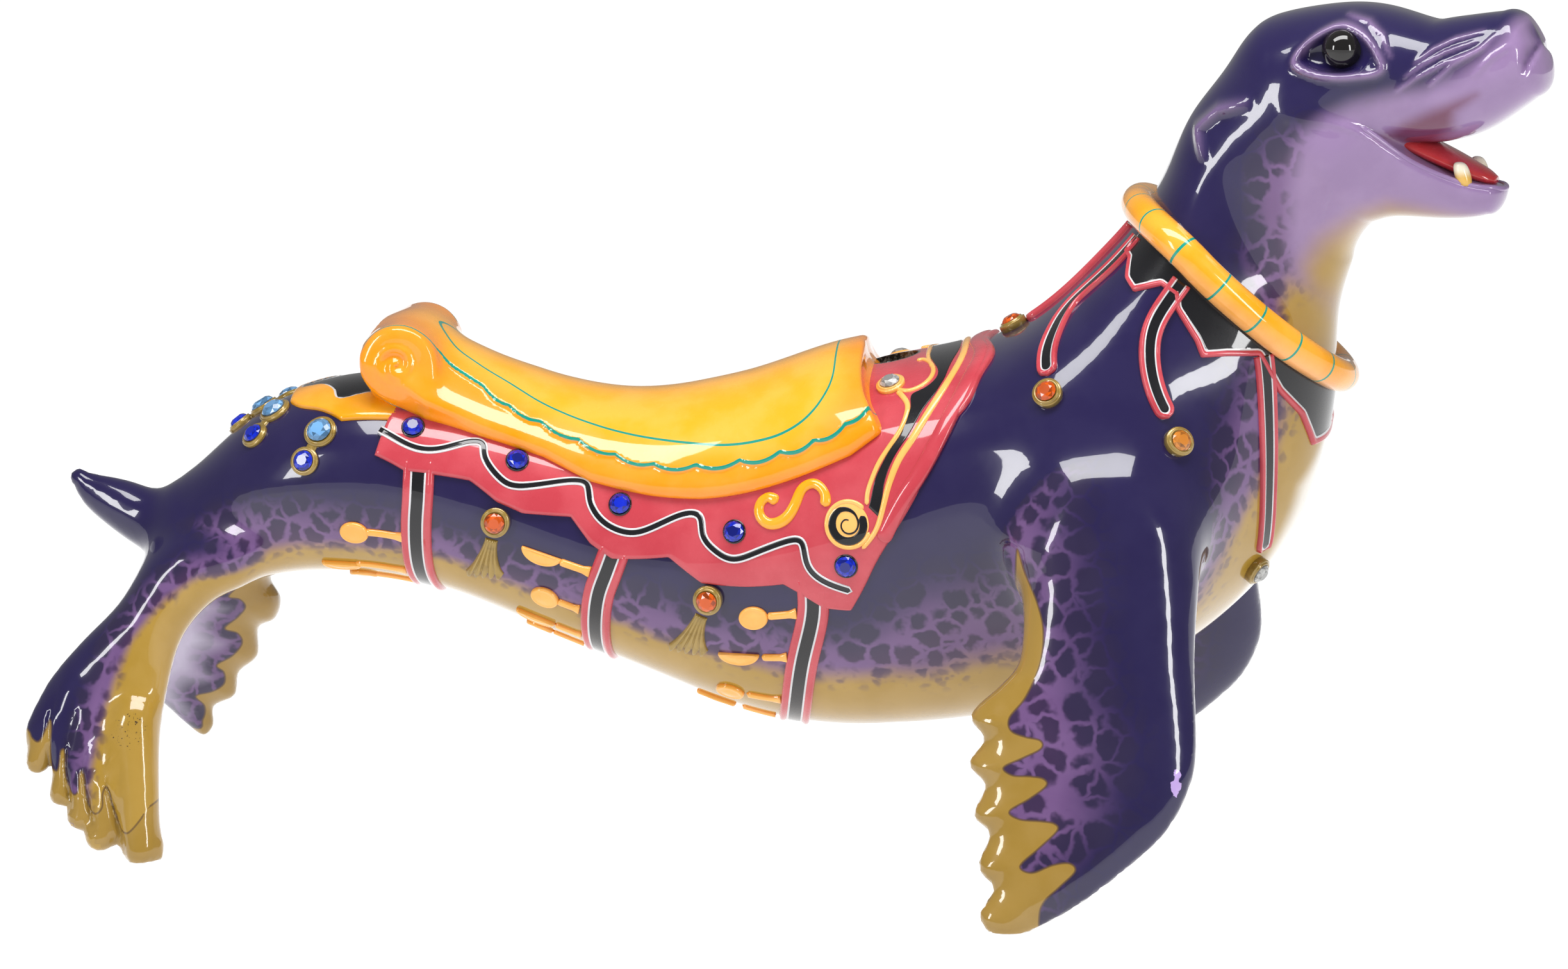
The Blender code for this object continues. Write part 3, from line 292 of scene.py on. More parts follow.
def stroke(flat, line, width, height):
    """Height of a soft ridge along a line, tapered to its ends."""
    out = np.zeros(len(flat))
    count = len(line) - 1
    for i, (start, end) in enumerate(zip(line[:-1], line[1:])):
        way = end - start
        t = np.clip((flat - start) @ way / (way @ way), 0, 1)
        gap = np.linalg.norm(flat - start - t[:, None] * way, axis=1)
        taper = np.sin(np.pi * (i + t + 0.15) / (count + 0.3)) ** 0.5
        out = np.maximum(out, height * taper * np.exp(-((gap / width) ** 2)))
    return out


def leaning(p, foot, lean, bend=0.0, start=0.0):
    """p seen from a plate that stands on y = foot, leans in with height, and more above start."""
    above = np.maximum(p[:, 2] - start, 0)
    slope = lean + 2 * bend * above
    aside = p[:, 1] - foot - lean * p[:, 2] - bend * above**2
    return np.stack([p[:, 0], aside / np.sqrt(1 + slope**2), p[:, 2]], 1)


def swung(p, angle, about):
    """p turned about a side to side axis, so that the floor end of a form there goes forward."""
    c, s = np.cos(angle), np.sin(angle)
    x, z = p[:, 0] - about[0], p[:, 2] - about[1]
    return np.stack([about[0] + c * x + s * z, p[:, 1], about[1] - s * x + c * z], 1)


def above_collar(p):
    """Distance in front of the plane that the collar lies in."""
    over = (p[:, 0] - COLLAR_CENTRE[0]) * np.sin(COLLAR_LEAN)
    return over + (p[:, 2] - COLLAR_CENTRE[1]) * np.cos(COLLAR_LEAN)


def head_turn(p):
    """Angle the head has turned at each point: none at the collar's plane, all of it above."""
    t = np.clip(above_collar(p) / HEAD_TURN_OVER, 0, 1)
    return HEAD_TURN * t * t * (3 - 2 * t)


def yawed(p, angle):
    """p turned by an angle about the upright axis that the head turns on."""
    c, s = np.cos(angle), np.sin(angle)
    x, y = p[:, 0] - HEAD_AXIS_X, p[:, 1]
    return np.stack([HEAD_AXIS_X + c * x - s * y, s * x + c * y, p[:, 2]], 1)


def head(p):
    """Distance to the muzzle and lower jaw in the head's own frame."""
    return blend(tube(p, MUZZLE, MUZZLE_ENDS, FULL_OVAL), tube(p, JAW, JAW_ENDS), JAW_FILLET)


def face(p, form):
    """The head with its carving: eye hollows and lids, ears, whisker lines and nostrils."""
    near = (p[:, 2] > FACE_ABOVE) & (np.abs(form) < FACE_BAND)
    q = p[near]
    q[:, 1] = np.abs(q[:, 1])
    flat = q[:, [0, 2]]
    hollowed = carved_out(form[near], ball(q, EYE_CENTRE + EYE_HOLLOW, EYE_HOLLOW_SIZE), 10 * MM)
    lid_width, lid_height = LID_RIDGE
    ridges = lid_height * np.exp(-((lid_depth(flat) / lid_width) ** 2)) + stroke(flat, EAR, *EAR_RIDGE)
    for line in (*WHISKERS, EYE_FOLD):
        ridges += stroke(flat, line, *WHISKER_RIDGE)
    ridges -= stroke(flat, NOSTRIL, *NOSTRIL_GROOVE)
    side = np.clip(q[:, 1] / (30 * MM), 0, 1)     # carving fades out by the middle plane
    out = form.copy()
    out[near] = hollowed - side * ridges
    return out


def fore_frame(p, side):
    """p in the flat frame of the fore flipper on that side, the same for both."""
    swing, ahead = FORE_SWINGS[side]
    q = leaning(p * (1, -side, 1), FORE_FOOT, FORE_LEAN, FORE_BEND, ARMPIT)
    return swung(q, swing, SHOULDER_TOP) - (ahead, 0, 0)


def trunk_and_neck(turned):
    """Distance to the body without limbs, head or tail, in the frame that turns with the head."""
    return tube(turned, TORSO, TORSO_ENDS)


def tail(p):
    """Distance to the tail."""
    return tube(p, TAIL, TAIL_ENDS, ELLIPSE)


def figure(p):
    """Distance to the skin of the whole animal, below zero inside."""
    turned = yawed(p, head_turn(p))
    form = blend(trunk_and_neck(turned), head(turned), HEAD_FILLET)
    form = blend(face(turned, form), tail(p), TAIL_FILLET)
    for side, (_, ahead) in FORE_SWINGS.items():
        flipper = plate(fore_frame(p, side), "fore", FORE_EDGE, FORE_THICKNESS)
        shoulder = ball(p, SHOULDER * (1, side, 1) + (0.6 * ahead, 0, 0), SHOULDER_SIZE)
        form = blend(blend(form, flipper, FORE_FILLET), shoulder, FORE_FILLET)
    q = leaning(p, RIGHT_HIND_FOOT, HIND_LEAN)
    hind = plate(q, "right hind", HIND_EDGE, HIND_THICKNESS)
    for root_x, root_z, tip_x, tip_z, root, tip in TOES:
        start, end = np.array([(root_x, TOE_ROOT_OUT, root_z), (tip_x, TOE_TIP_OUT, tip_z)])
        hind = blend(hind, cone(q, start, end, root, tip), TOE_FILLET)
    near = hind < 20 * MM
    for line in TOE_GROOVES:
        hind[near] += stroke(q[near][:, [0, 2]], line, *TOE_GROOVE)
    form = blend(form, hind, HIND_FILLET)
    q = leaning(p * (1, -1, 1), LEFT_HIND_FOOT, HIND_LEAN)
    return blend(form, plate(q, "left hind", HIND_EDGE, HIND_THICKNESS), HIND_FILLET)


def outward(p, form=figure, step=0.8 * MM):
    """Slope of the field, which points straight out of the skin."""
    return np.stack([form(p + step * v) - form(p - step * v) for v in np.eye(3)], 1) / (2 * step)


def onto_skin(p, form=figure, limit=6 * MM, rounds=2):
    """Points near the skin drawn onto it: each moves down the slope by what is left of the field."""
    for _ in range(rounds):
        slope = outward(p, form)
        step = -form(p)[:, None] * slope / np.maximum((slope**2).sum(1), 0.05)[:, None]
        size = np.linalg.norm(step, axis=1)[:, None]
        p = p + step * np.minimum(1, limit / np.maximum(size, 1e-9))
    return p


def fill_checkered(field):
    """Fills the faces of cells whose inside corners lie on one diagonal: they would not close."""
    for _ in range(8):
        solid = field < 0
        fill = np.zeros_like(solid)
        for first, second in ((0, 1), (0, 2), (1, 2)):
            corners = []
            for i, j in ((0, 0), (1, 0), (1, 1), (0, 1)):
                cut = [slice(None)] * 3
                cut[first] = slice(i, field.shape[first] - 1 + i)
                cut[second] = slice(j, field.shape[second] - 1 + j)
                corners.append(tuple(cut))
            a, b, c, d = (solid[cut] for cut in corners)
            checkered = (a == c) & (b == d) & (a != b)
            for cut in corners:
                fill[cut] |= checkered
        if not (fill & ~solid).any():
            break
        field[fill & ~solid] = -0.01 * MM


def skin_mesh(form, low, high, step):
    """Points and quads of a form's skin: one point in each cell of a grid that the skin crosses.

    The field is worked out at every fourth point first, and in full only near the skin. Each
    point starts at the mean of its cell's crossings and is then drawn onto the skin.
    """
    coarse = 4
    counts = np.ceil((high - low) / (step * coarse)).astype(int)
    middles = [low[i] + step * (coarse * np.arange(counts[i]) + 1.5) for i in range(3)]
    rough = form(np.stack(np.meshgrid(*middles, indexing="ij"), -1).reshape(-1, 3))
    field = rough.reshape(counts)
    for axis in range(3):
        field = field.repeat(coarse, axis)
    close = np.abs(field) < 1.6 * coarse * step
    field[close] = form(low + step * np.argwhere(close))
    fill_checkered(field)
    solid = field < 0

    def corner(values, shift):
        """A grid's values at that corner of each cell."""
        return values[tuple(slice(k, n - 1 + k) for k, n in zip(shift, values.shape))]

    shifts = [(i, j, k) for i in (0, 1) for j in (0, 1) for k in (0, 1)]
    filled = sum(corner(solid, shift).astype(np.int8) for shift in shifts)
    crossed = (filled > 0) & (filled < 8)
    cells = np.argwhere(crossed)
    number = np.full(crossed.shape, -1)
    number[crossed] = np.arange(len(cells))
    value = {shift: corner(field, shift)[crossed] for shift in shifts}
    total, hits = np.zeros((len(cells), 3)), np.zeros((len(cells), 1))
    for shift in shifts:
        for axis in range(3):
            if shift[axis]:
                continue
            one, other = value[shift], value[tuple(k + (n == axis) for n, k in enumerate(shift))]
            cut = (one < 0) != (other < 0)
            share = np.where(cut, one / np.where(cut, one - other, 1), 0)[:, None]
            total += (np.array(shift) + share * np.eye(3)[axis]) * cut[:, None]
            hits += cut[:, None]
    points = onto_skin(low + step * (cells + total / hits), form, 0.5 * step)
    quads = []
    for axis in range(3):
        one = solid[tuple(slice(0, -1) if n == axis else slice(1, -1) for n in range(3))]
        other = solid[tuple(slice(1, None) if n == axis else slice(1, -1) for n in range(3))]
        edges = np.argwhere(one != other)
        leaving = one[one != other]
        first, second = [n for n in range(3) if n != axis]
        edges[:, first] += 1
        edges[:, second] += 1
        round_edge = []
        for back in ((1, 1), (0, 1), (0, 0), (1, 0)):
            cell = edges.copy()
            cell[:, first] -= back[0]
            cell[:, second] -= back[1]
            round_edge.append(number[tuple(cell.T)])
        quad = np.stack(round_edge, 1)
        turn = leaving == (axis == 1)
        quad[turn] = quad[turn, ::-1]
        quads.append(quad)
    return points, np.vstack(quads)


def unit(v):
    """Vectors at length 1."""
    return v / np.linalg.norm(v, axis=-1, keepdims=True)


SPINE = spline_through(TORSO)
STATIONS = np.linspace(0, len(TORSO) - 1, 1401)
RUN = np.linalg.norm(np.diff(along(SPINE, STATIONS)[0][:, :2], axis=0), axis=1)
RUN = np.concatenate([[0], np.cumsum(RUN)]) / MM


def place_of(p):
    """Millimetres along the spine and degrees round from the ridge, either side, of points."""
    s = nearest_station(SPINE, p[:, [0, 2]])
    at, way, _ = along(SPINE, s)
    way = unit(way[:, :2])
    off = p[:, [0, 2]] - at[:, :2]
    up = off[:, 1] * way[:, 0] - off[:, 0] * way[:, 1]
    return np.interp(s, STATIONS, RUN), np.degrees(np.arctan2(np.abs(p[:, 1]), up))


class Shade:
    """One socket of a material. Operators add Math nodes, and the methods the other nodes."""

    def __init__(self, tree, socket=None):
        self.tree, self.socket = tree, socket

    def node(self, kind, settings=(), sockets=(), out=0):
        """A new node: its settings first, then the value or the link of each socket."""
        made = self.tree.nodes.new("ShaderNode" + kind)
        for name, value in dict(settings).items():
            setattr(made, name, value)
        for key, value in dict(sockets).items():
            if isinstance(value, Shade):
                self.tree.links.new(value.socket, made.inputs[key])
            else:
                made.inputs[key].default_value = value
        return Shade(self.tree, made.outputs[out] if made.outputs else None)

    def maths(self, operation, *terms):
        """A Math node on values or sockets."""
        return self.node("Math", {"operation": operation}, enumerate(terms))

    def __add__(self, other):
        return self.maths("ADD", self, other)

    def __sub__(self, other):
        return self.maths("SUBTRACT", self, other)

    def __rsub__(self, other):
        return self.maths("SUBTRACT", other, self)

    def __mul__(self, other):
        return self.maths("MULTIPLY", self, other)

    def __truediv__(self, other):
        return self.maths("DIVIDE", self, other)

    def __rtruediv__(self, other):
        return self.maths("DIVIDE", other, self)

    def __abs__(self):
        return self.maths("ABSOLUTE", self)

    __radd__, __rmul__ = __add__, __mul__

    def smaller(self, other):
        """The smaller of two values."""
        return self.maths("MINIMUM", self, other)

    def rise(self, low, high):
        """0 below low and 1 above high, smooth between."""
        settings = {"interpolation_type": "SMOOTHSTEP", "clamp": True}
        return self.node("MapRange", settings, {"Value": self, "From Min": low, "From Max": high})

    def attribute(self, name):
        """A field of the piece's own mesh."""
        return self.node("Attribute", {"attribute_name": name}, out="Fac")

    def place(self):
        """Place in the frame, in metres."""
        return self.node("TexCoord", out="Object")

    def noise(self, size, detail=3.0, at=None):
        """Cloudy noise about 0.5 whose lumps are this many metres across."""
        sockets = {"Vector": at or self.place(), "Scale": 1 / size, "Detail": detail}
        return self.node("TexNoise", (), sockets)

    def colour(self, share, first, second):
        """First colour where share is 0 and second where it is 1."""
        return self.node("Mix", {"data_type": "RGBA"}, {0: share, 6: first, 7: second}, out=2)


def enamel(name, tint, roughness=0.22, metallic=0.0, lumps=0.0006, mottle=0.12):
    """Sprayed enamel under a clear coat, with faint cloudiness and the ripple of hand smoothing.

    tint is one colour, or tint(shade) gives it. mottle is how much darker its cloudy patches are,
    and lumps the height of the ripple.
    """
    material = bpy.data.materials.new(name)
    material.use_nodes = True
    tree = material.node_tree
    tree.nodes.clear()
    shade = Shade(tree)
    colour = tint(shade) if callable(tint) else tint
    cloud = shade.noise(0.05, 4.0)
    darker = shade.node("HueSaturation", (), {"Value": 1 - mottle, "Saturation": 1.04, "Color": colour})
    colour = shade.colour(cloud.rise(0.35, 0.65), colour, darker)
    ripple = shade.noise(0.035, 2.0) + 0.08 * shade.noise(0.002, 1.0)
    bump = shade.node("Bump", (), {"Strength": 0.25, "Distance": lumps, "Height": ripple}, "Normal")
    spots = shade.noise(0.012, 3.0)
    sockets = {
        "Base Color": colour, "Roughness": roughness + 0.1 * spots, "Metallic": metallic,
        "Specular IOR Level": 0.15, "Coat Weight": 1.0, "Coat Roughness": 0.03, "Normal": bump,
    }
    shader = shade.node("BsdfPrincipled", (), sockets)
    shade.node("OutputMaterial", (), {"Surface": shader})
    return material


def mesh_of(name, points, faces):
    """A mesh from its points and faces, as arrays or lists."""
    mesh = bpy.data.meshes.new(name)
    mesh.from_pydata(np.asarray(points).tolist(), [], [list(map(int, face)) for face in faces])
    return mesh


def linked(name, data):
    """A new object of a mesh, light or camera, in the scene."""
    made = bpy.data.objects.new(name, data)
    bpy.context.scene.collection.objects.link(made)
    return made


def painted(name, mesh, material):
    """A mesh with its material, as an object that rides on the root body."""
    mesh.materials.append(material)
    made = linked(name, mesh)
    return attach(made, "root")


def piece(name, points, faces, material, slot="painted_casting", sharp=None, turn_out=True, **fields):
    """A smooth piece on the root body, with a float field for each of its points.

    turn_out makes all faces point outwards. An edge steeper than sharp, in degrees, stays hard.
    """
    mesh = mesh_of(name, points, faces)
    if turn_out:
        shape = bmesh.new()
        shape.from_mesh(mesh)
        bmesh.ops.recalc_face_normals(shape, faces=shape.faces)
        shape.to_mesh(mesh)
        shape.free()
    mesh.shade_smooth()
    if sharp:
        mesh.set_sharp_from_angle(angle=np.radians(sharp))
    for key, values in fields.items():
        field = mesh.attributes.new(key, "FLOAT", "POINT")
        field.data.foreach_set("value", np.asarray(values, np.float32).ravel())
    return painted(name, mesh, material)


# Paint of the casting
# Sprayed enamel under a clear coat: navy over the back, a lavender net of dark patches on the
# flanks and ochre gold beneath, with hard-edged gold brushed on the flippers.
NAVY, NIGHT, LAVENDER = (0.017, 0.012, 0.064, 1), (0.021, 0.015, 0.05, 1), (0.16, 0.085, 0.215, 1)
LILAC, OCHRE, CREAM = (0.29, 0.19, 0.36, 1), (0.4, 0.245, 0.045, 1), (0.85, 0.8, 0.72, 1)
# The first colour on the next line is the plum of painted shade, with the tongue's painted reflection,
# under the upper jaw.
PAINTED_JAW_SHADE, PALE, CHIPPED = (0.15, 0.04, 0.09, 1), (0.52, 0.47, 0.6, 1), (0.51, 0.36, 0.72, 1)
PLUM, BRONZE = (0.05, 0.022, 0.07, 1), (0.35, 0.215, 0.045, 1)
GOLD_EDGE = np.array([
    (0, 104), (37, 109), (92, 119), (150, 124), (210, 125), (300, 120), (380, 120), (515, 119),
    (576, 123), (631, 127), (696, 132), (785, 137), (840, 138), (992, 150), (1042, 146), (1108, 150),
    (1165, 151), (1240, 138), (1284, 135), (1357, 135), (1420, 130),
])
NAVY_EDGE = np.array([
    (0, 72), (38, 72), (125, 87), (176, 93), (300, 98), (368, 97), (440, 97), (533, 94), (592, 99),
    (668, 105), (713, 110), (756, 109), (806, 101), (846, 103), (937, 105), (1060, 129), (1105, 125),
    (1146, 124), (1197, 122), (1256, 115), (1285, 101), (1327, 87), (1370, 76),
])
CREAM_EDGE = np.array([
    (940, 185), (985, 172), (1022, 168), (1066, 166), (1108, 164), (1150, 172), (1180, 185),
])
HEAD_PALE = pattern([     # where the head is no longer navy, from the nape's side to the nose
    (500, 560), (518, 640), (522, 700), (530, 750), (552, 790), (590, 812), (629, 820), (653, 832),
    (681, 840), (711, 846), (741, 852), (757, 865), (781, 881), (797, 888), (800, 900), (806, 930),
    (860, 930), (860, 500), (500, 500),
])
HEAD_LILAC = pattern([
    (560, 640), (572, 700), (580, 735), (588, 769), (597, 795), (613, 809), (640, 824), (680, 836),
    (712, 842), (745, 858), (765, 874), (782, 892), (792, 904), (812, 930), (860, 930), (860, 560),
    (620, 560),
])
THROAT_GOLD = pattern([
    (540, 560), (560, 610), (577, 650), (601, 677), (620, 691), (645, 706), (668, 714), (695, 710),
    (729, 703), (790, 690), (800, 600), (700, 480),
])
# Painted shade under the upper jaw by the mouth's corner, with the tongue's painted reflection in it.
MOUTH_SHADE = pattern([
    (764, 838), (742, 820), (736, 800), (700, 772), (664, 790), (690, 806), (724, 822),
])
FORE_GOLD = pattern([
    (262, 372), (270, 350), (284, 322), (291, 295), (288, 262), (274, 230), (258, 210), (260, 198),
    (274, 193), (290, 190), (291, 182), (272, 172), (253, 162), (262, 155), (280, 155), (294, 153),
    (297, 146), (280, 133), (260, 120), (270, 113), (292, 112), (306, 110), (309, 103), (290, 85),
    (272, 68), (284, 62), (305, 70), (322, 72), (328, 64), (312, 48), (296, 32), (292, 10),
    (292, -60), (150, -60), (150, 260), (235, 262), (258, 300), (260, 340),
])
RIGHT_GOLD = pattern([
    (-850, 136), (-816, 132), (-808, 125), (-801, 122), (-796, 126), (-791, 138), (-788, 145),
    (-785, 138), (-786, 98), (-780, 92), (-776, 96), (-774, 113), (-770, 113), (-768, 88), (-762, 73),
    (-756, 69), (-752, 75), (-752, 90), (-748, 92), (-744, 71), (-740, 56), (-731, 51), (-724, 58),
    (-724, 72), (-721, 79), (-717, 72), (-713, 55), (-705, 37), (-697, 32), (-690, 36), (-680, 48),
    (-673, 59), (-640, 62), (-640, -60), (-850, -60),
])
LEFT_GOLD = pattern([
    (-580, 300), (-612, 262), (-634, 240), (-622, 236), (-617, 226), (-628, 212), (-645, 197),
    (-632, 190), (-629, 176), (-642, 160), (-661, 148), (-655, 138), (-657, 122), (-672, 112),
    (-691, 106), (-684, 92), (-688, 74), (-703, 61), (-800, 90), (-800, -20), (-500, -20),
    (-500, 300),
])
SHIN_GOLD = pattern([
    (-525, 326), (-576, 304), (-630, 294), (-661, 272), (-679, 254), (-698, 229), (-713, 189),
    (-723, 160), (-728, 131), (-733, 101), (-738, 60), (-738, 0), (-600, -20), (-500, 200),
])
NET_FRONT = pattern([     # (height, x) where the net ends on the fore flipper
    (40, 318), (64, 334), (88, 356), (116, 377), (197, 387), (232, 365), (300, 348), (355, 346),
    (420, 330),
])
LIMB_ROOT, PLATE_REACH, FORE_FADE, SHIN_FADE = 30 * MM, 15 * MM, 75 * MM, 35 * MM
FORE_GOLD_BELOW, PALE_BELOW = 380 * MM, 290 * MM
NO_EDGE = -0.1            # the field's value far outside the hard-edged gold


def fading(depth, over):
    """1 inside an outline and 0 outside it, softly over a width that its border halves."""
    t = np.clip(depth / over + 0.5, 0, 1)
    return t * t * (3 - 2 * t)


def head_paint(q):
    """Tone of the head, in the head's own frame, how lilac and gold it is, and its share of painted
    shade, with the tongue's painted reflection, under the upper jaw by the mouth's corner.
    """
    flat = q[:, [0, 2]]
    tone = np.clip(depth_inside(flat, HEAD_PALE) / (60 * MM), -0.6, 0.6)
    gold = fading(depth_inside(flat, THROAT_GOLD), 40 * MM)
    lines = np.exp(-((lid_depth(flat) / (3.6 * MM)) ** 2)) + 0.7 * stroke(flat, EAR, 6 * MM, 1)
    for line in (*WHISKERS, EYE_FOLD):
        lines = lines + 0.9 * stroke(flat, line, 2.6 * MM, 1)
    lines = lines * np.clip(np.abs(q[:, 1]) / (25 * MM), 0, 1) + stroke(flat, NOSTRIL, 9 * MM, 1)
    lilac = fading(depth_inside(flat, HEAD_LILAC), 30 * MM)
    lilac = np.clip(lilac + 0.75 * lines, 0, 1) * (1 - 0.9 * stroke(flat, NOSTRIL, 2.6 * MM, 1))
    return tone, lilac, fading(depth_inside(flat, MOUTH_SHADE), 18 * MM), gold


def skin_paint(p):
    """The paint's fields at points of the skin.

    tone is 0 at the navy's border and 1 at the gold's, and edge is the depth inside the hard-edged
    gold of the flippers. lilac, gold, cream and pale are the shares of those colours. The plum share
    by the mouth's corner is painted shade, with the tongue's painted reflection, under the upper jaw.
    """
    turned = yawed(p, head_turn(p))
    run, angle = place_of(turned)
    navy, gold = np.interp(run, *NAVY_EDGE.T), np.interp(run, *GOLD_EDGE.T)
    tone = (angle - navy) / (gold - navy)
    head_tone, lilac, painted_jaw_shade, gold_share = head_paint(turned)
    share = fading(above_collar(p) - 50 * MM, 70 * MM)
    tone = tone * (1 - share) + head_tone * share
    cream = fading((angle - np.interp(run, *CREAM_EDGE.T)) * MM, 9 * MM)
    cream = cream * (run > CREAM_EDGE[0, 0]) * (run < CREAM_EDGE[-1, 0])
    torso = trunk_and_neck(turned)
    edge = np.full(len(p), NO_EDGE)
    pale = np.zeros(len(p))

    def limb_of(q, name, border, thickness):
        """Which points are on that flipper alone, and each point's share of it."""
        value = plate(q, name, border, thickness)
        on_plate = value < PLATE_REACH
        return on_plate & (value - torso < 4 * MM), on_plate * np.clip((torso - value) / LIMB_ROOT, 0, 1)

    for side in (-1, 1):
        q = fore_frame(p, side)
        mine, limb = limb_of(q, "fore", FORE_EDGE, FORE_THICKNESS)
        mine &= q[:, 2] < FORE_GOLD_BELOW
        edge[mine] = depth_inside(q[mine][:, [0, 2]], smooth_outline(FORE_GOLD))
        net = 0.55 * (np.interp(q[:, 2], *NET_FRONT.T) - q[:, 0]) / FORE_FADE
        tone = tone * (1 - limb) + limb * np.clip(net, -0.4, 0.6)
    for side, foot, name, tips in ((-1, RIGHT_HIND_FOOT, "right hind", RIGHT_GOLD),
                                   (1, LEFT_HIND_FOOT, "left hind", LEFT_GOLD)):
        q = leaning(p * (1, -side, 1), foot, HIND_LEAN)
        mine, limb = limb_of(q, name, HIND_EDGE, HIND_THICKNESS)
        flat = q[:, [0, 2]]
        edge[mine] = depth_inside(flat[mine], smooth_outline(tips))
        inner = fading(q[:, 1], 6 * MM) * limb * (q[:, 2] < PALE_BELOW)
        pale = pale + inner * np.clip(-edge / (34 * MM) - 0.25, 0, 0.95)
        shin = 1.0 + depth_inside(flat, SHIN_GOLD) / SHIN_FADE
        tone = tone * (1 - limb) + limb * (shin if side == -1 else 0.4)
    on_tail = tail(p)
    tone = np.where((on_tail < torso) & (on_tail < PLATE_REACH), -0.5, tone)
    return {
        "tone": np.clip(tone, -1, 2), "edge": np.clip(edge, NO_EDGE, -NO_EDGE), "cream": cream,
        "lilac": lilac * share, "painted_jaw_shade": painted_jaw_shade * share, "gold": gold_share * share,
        "pale": np.clip(pale, 0, 1),
    }


CHIPS = [(pattern((428, -317, 146)), 5.0 * MM), (pattern((431, -316, 158)), 3.2 * MM)]
SCUFF, SCUFF_RADIUS = pattern((-696, -160, 139)), 20 * MM
# First colour below: a dark line round the flippers' gold, painted shade of its slightly raised border.
GOLD_RIM_PAINTED_SHADE, SCUFF_BROWN = (0.1, 0.055, 0.03, 1), (0.06, 0.035, 0.02, 1)
BARE_SHELL, BARE_SPECKLE = (0.015, 0.012, 0.01, 1), (0.16, 0.14, 0.12, 1)
PATCH_SCALE = 40.0        # dark patches to a metre
WOBBLE = 18 * MM          # how far noise bends their borders
CRISP = 0.6 * MM          # width of a hard edge of paint
POLE_BORE, POLE_SEAT, POLE_X = 52 * MM, 104 * MM, 120 * MM
BARE_RIM = 2 * MM         # how far the bare shell shows past the bore


def gap_to(shade, place, centre):
    """Distance of the surface from a point."""
    return shade.node("VectorMath", {"operation": "DISTANCE"}, {0: place, 1: tuple(centre)}, "Value")


def near_mark(shade, centre, radius, ragged, tall=1.0):
    """1 within a ragged spot of damaged paint, this much taller than it is wide."""
    squash = (1, 1, 1 / tall)
    flat = shade.node("VectorMath", {"operation": "MULTIPLY"}, {0: shade.place(), 1: squash})
    gap = gap_to(shade, flat, centre * squash) + ragged * (shade.noise(0.006, 4.0) - 0.5)
    return 1 - gap.rise(radius, radius + CRISP)


def bored_tint(shade, colour):
    """The paint's colour, and the dark speckled bare shell inside the pole's bore."""
    flat = shade.node("VectorMath", {"operation": "MULTIPLY"}, {0: shade.place(), 1: (1, 1, 0)})
    rim = POLE_BORE / 2 + BARE_RIM
    bare = 1 - gap_to(shade, flat, (POLE_X, 0, 0)).rise(rim, rim + CRISP)
    speckled = shade.colour(shade.noise(0.004, 3.0).rise(0.4, 0.65), BARE_SHELL, BARE_SPECKLE)
    return shade.colour(bare, colour, speckled)


def skin_tint(shade):
    """Navy to lavender to ochre by tone, under dark patches with soft gaps between them."""
    place = shade.place()
    wobble = shade.node("TexNoise", (), {"Vector": place, "Scale": 55.0, "Detail": 2.0}, "Color")
    terms = {0: wobble, 1: (WOBBLE,) * 3, 2: place}
    bent = shade.node("VectorMath", {"operation": "MULTIPLY_ADD"}, terms)
    patches = {"Vector": bent, "Scale": PATCH_SCALE}
    gaps = shade.node("TexVoronoi", {"feature": "DISTANCE_TO_EDGE"}, patches)
    core = shade.node("TexVoronoi", (), patches)
    spots = shade.node("TexVoronoi", (), {"Vector": bent, "Scale": 1.7 * PATCH_SCALE})
    tone = shade.attribute("tone") + 0.25 * (shade.noise(0.06, 3.0) - 0.5)
    patch = (gaps - 0.05 * tone).rise(0.0, 0.14) * (1 - (core + 0.22 * tone).rise(0.6, 0.85))
    patch = patch * (1 - tone.rise(0.8, 1.1))
    small = (1 - spots.rise(0.2, 0.5)) * tone.rise(0.6, 0.9) * (1 - tone.rise(1.0, 1.3)) * 0.5
    field = shade.colour(tone.rise(-0.1, 0.6), NAVY, LAVENDER)
    field = shade.colour(tone.rise(0.7, 1.1), field, OCHRE)
    field = shade.colour(small, field, PLUM)
    dark = shade.colour(tone.rise(0.3, 0.9), NIGHT, PLUM)
    field = shade.colour(patch * tone.rise(-0.3, 0.1) * 0.94, field, dark)
    # The plum by the mouth's corner among these is painted shade with the tongue's painted reflection.
    shares = {"lilac": LILAC, "gold": OCHRE, "cream": CREAM, "painted_jaw_shade": PAINTED_JAW_SHADE, "pale": PALE}
    for name, colour in shares.items():
        field = shade.colour(shade.attribute(name), field, colour)
    edge = shade.attribute("edge")
    # A thin dark line along the gold's border: painted shade of its slightly raised edge.
    outline = (1 - (abs(edge) / (1.6 * MM)).rise(0.3, 1.0)) * 0.75
    field = shade.colour(edge.rise(-0.4 * MM, 0.4 * MM), field, BRONZE)
    field = shade.colour(outline, field, GOLD_RIM_PAINTED_SHADE)
    for centre, radius in CHIPS:
        field = shade.colour(near_mark(shade, centre, radius, 9 * MM, 1.6), field, CHIPPED)
    scuffs = near_mark(shade, SCUFF, SCUFF_RADIUS, 10 * MM) * shade.noise(0.003, 2.0).rise(0.6, 0.68)
    return bored_tint(shade, shade.colour(scuffs, field, SCUFF_BROWN))


skin_enamel = enamel("Skin enamel", skin_tint, roughness=0.16, mottle=0.08)
OVERLAP = 8 * MM          # how far body and head reach past the plane they meet on
SEAT_HEIGHT, BORE_ROUND = 138.6 * MM, 4 * MM


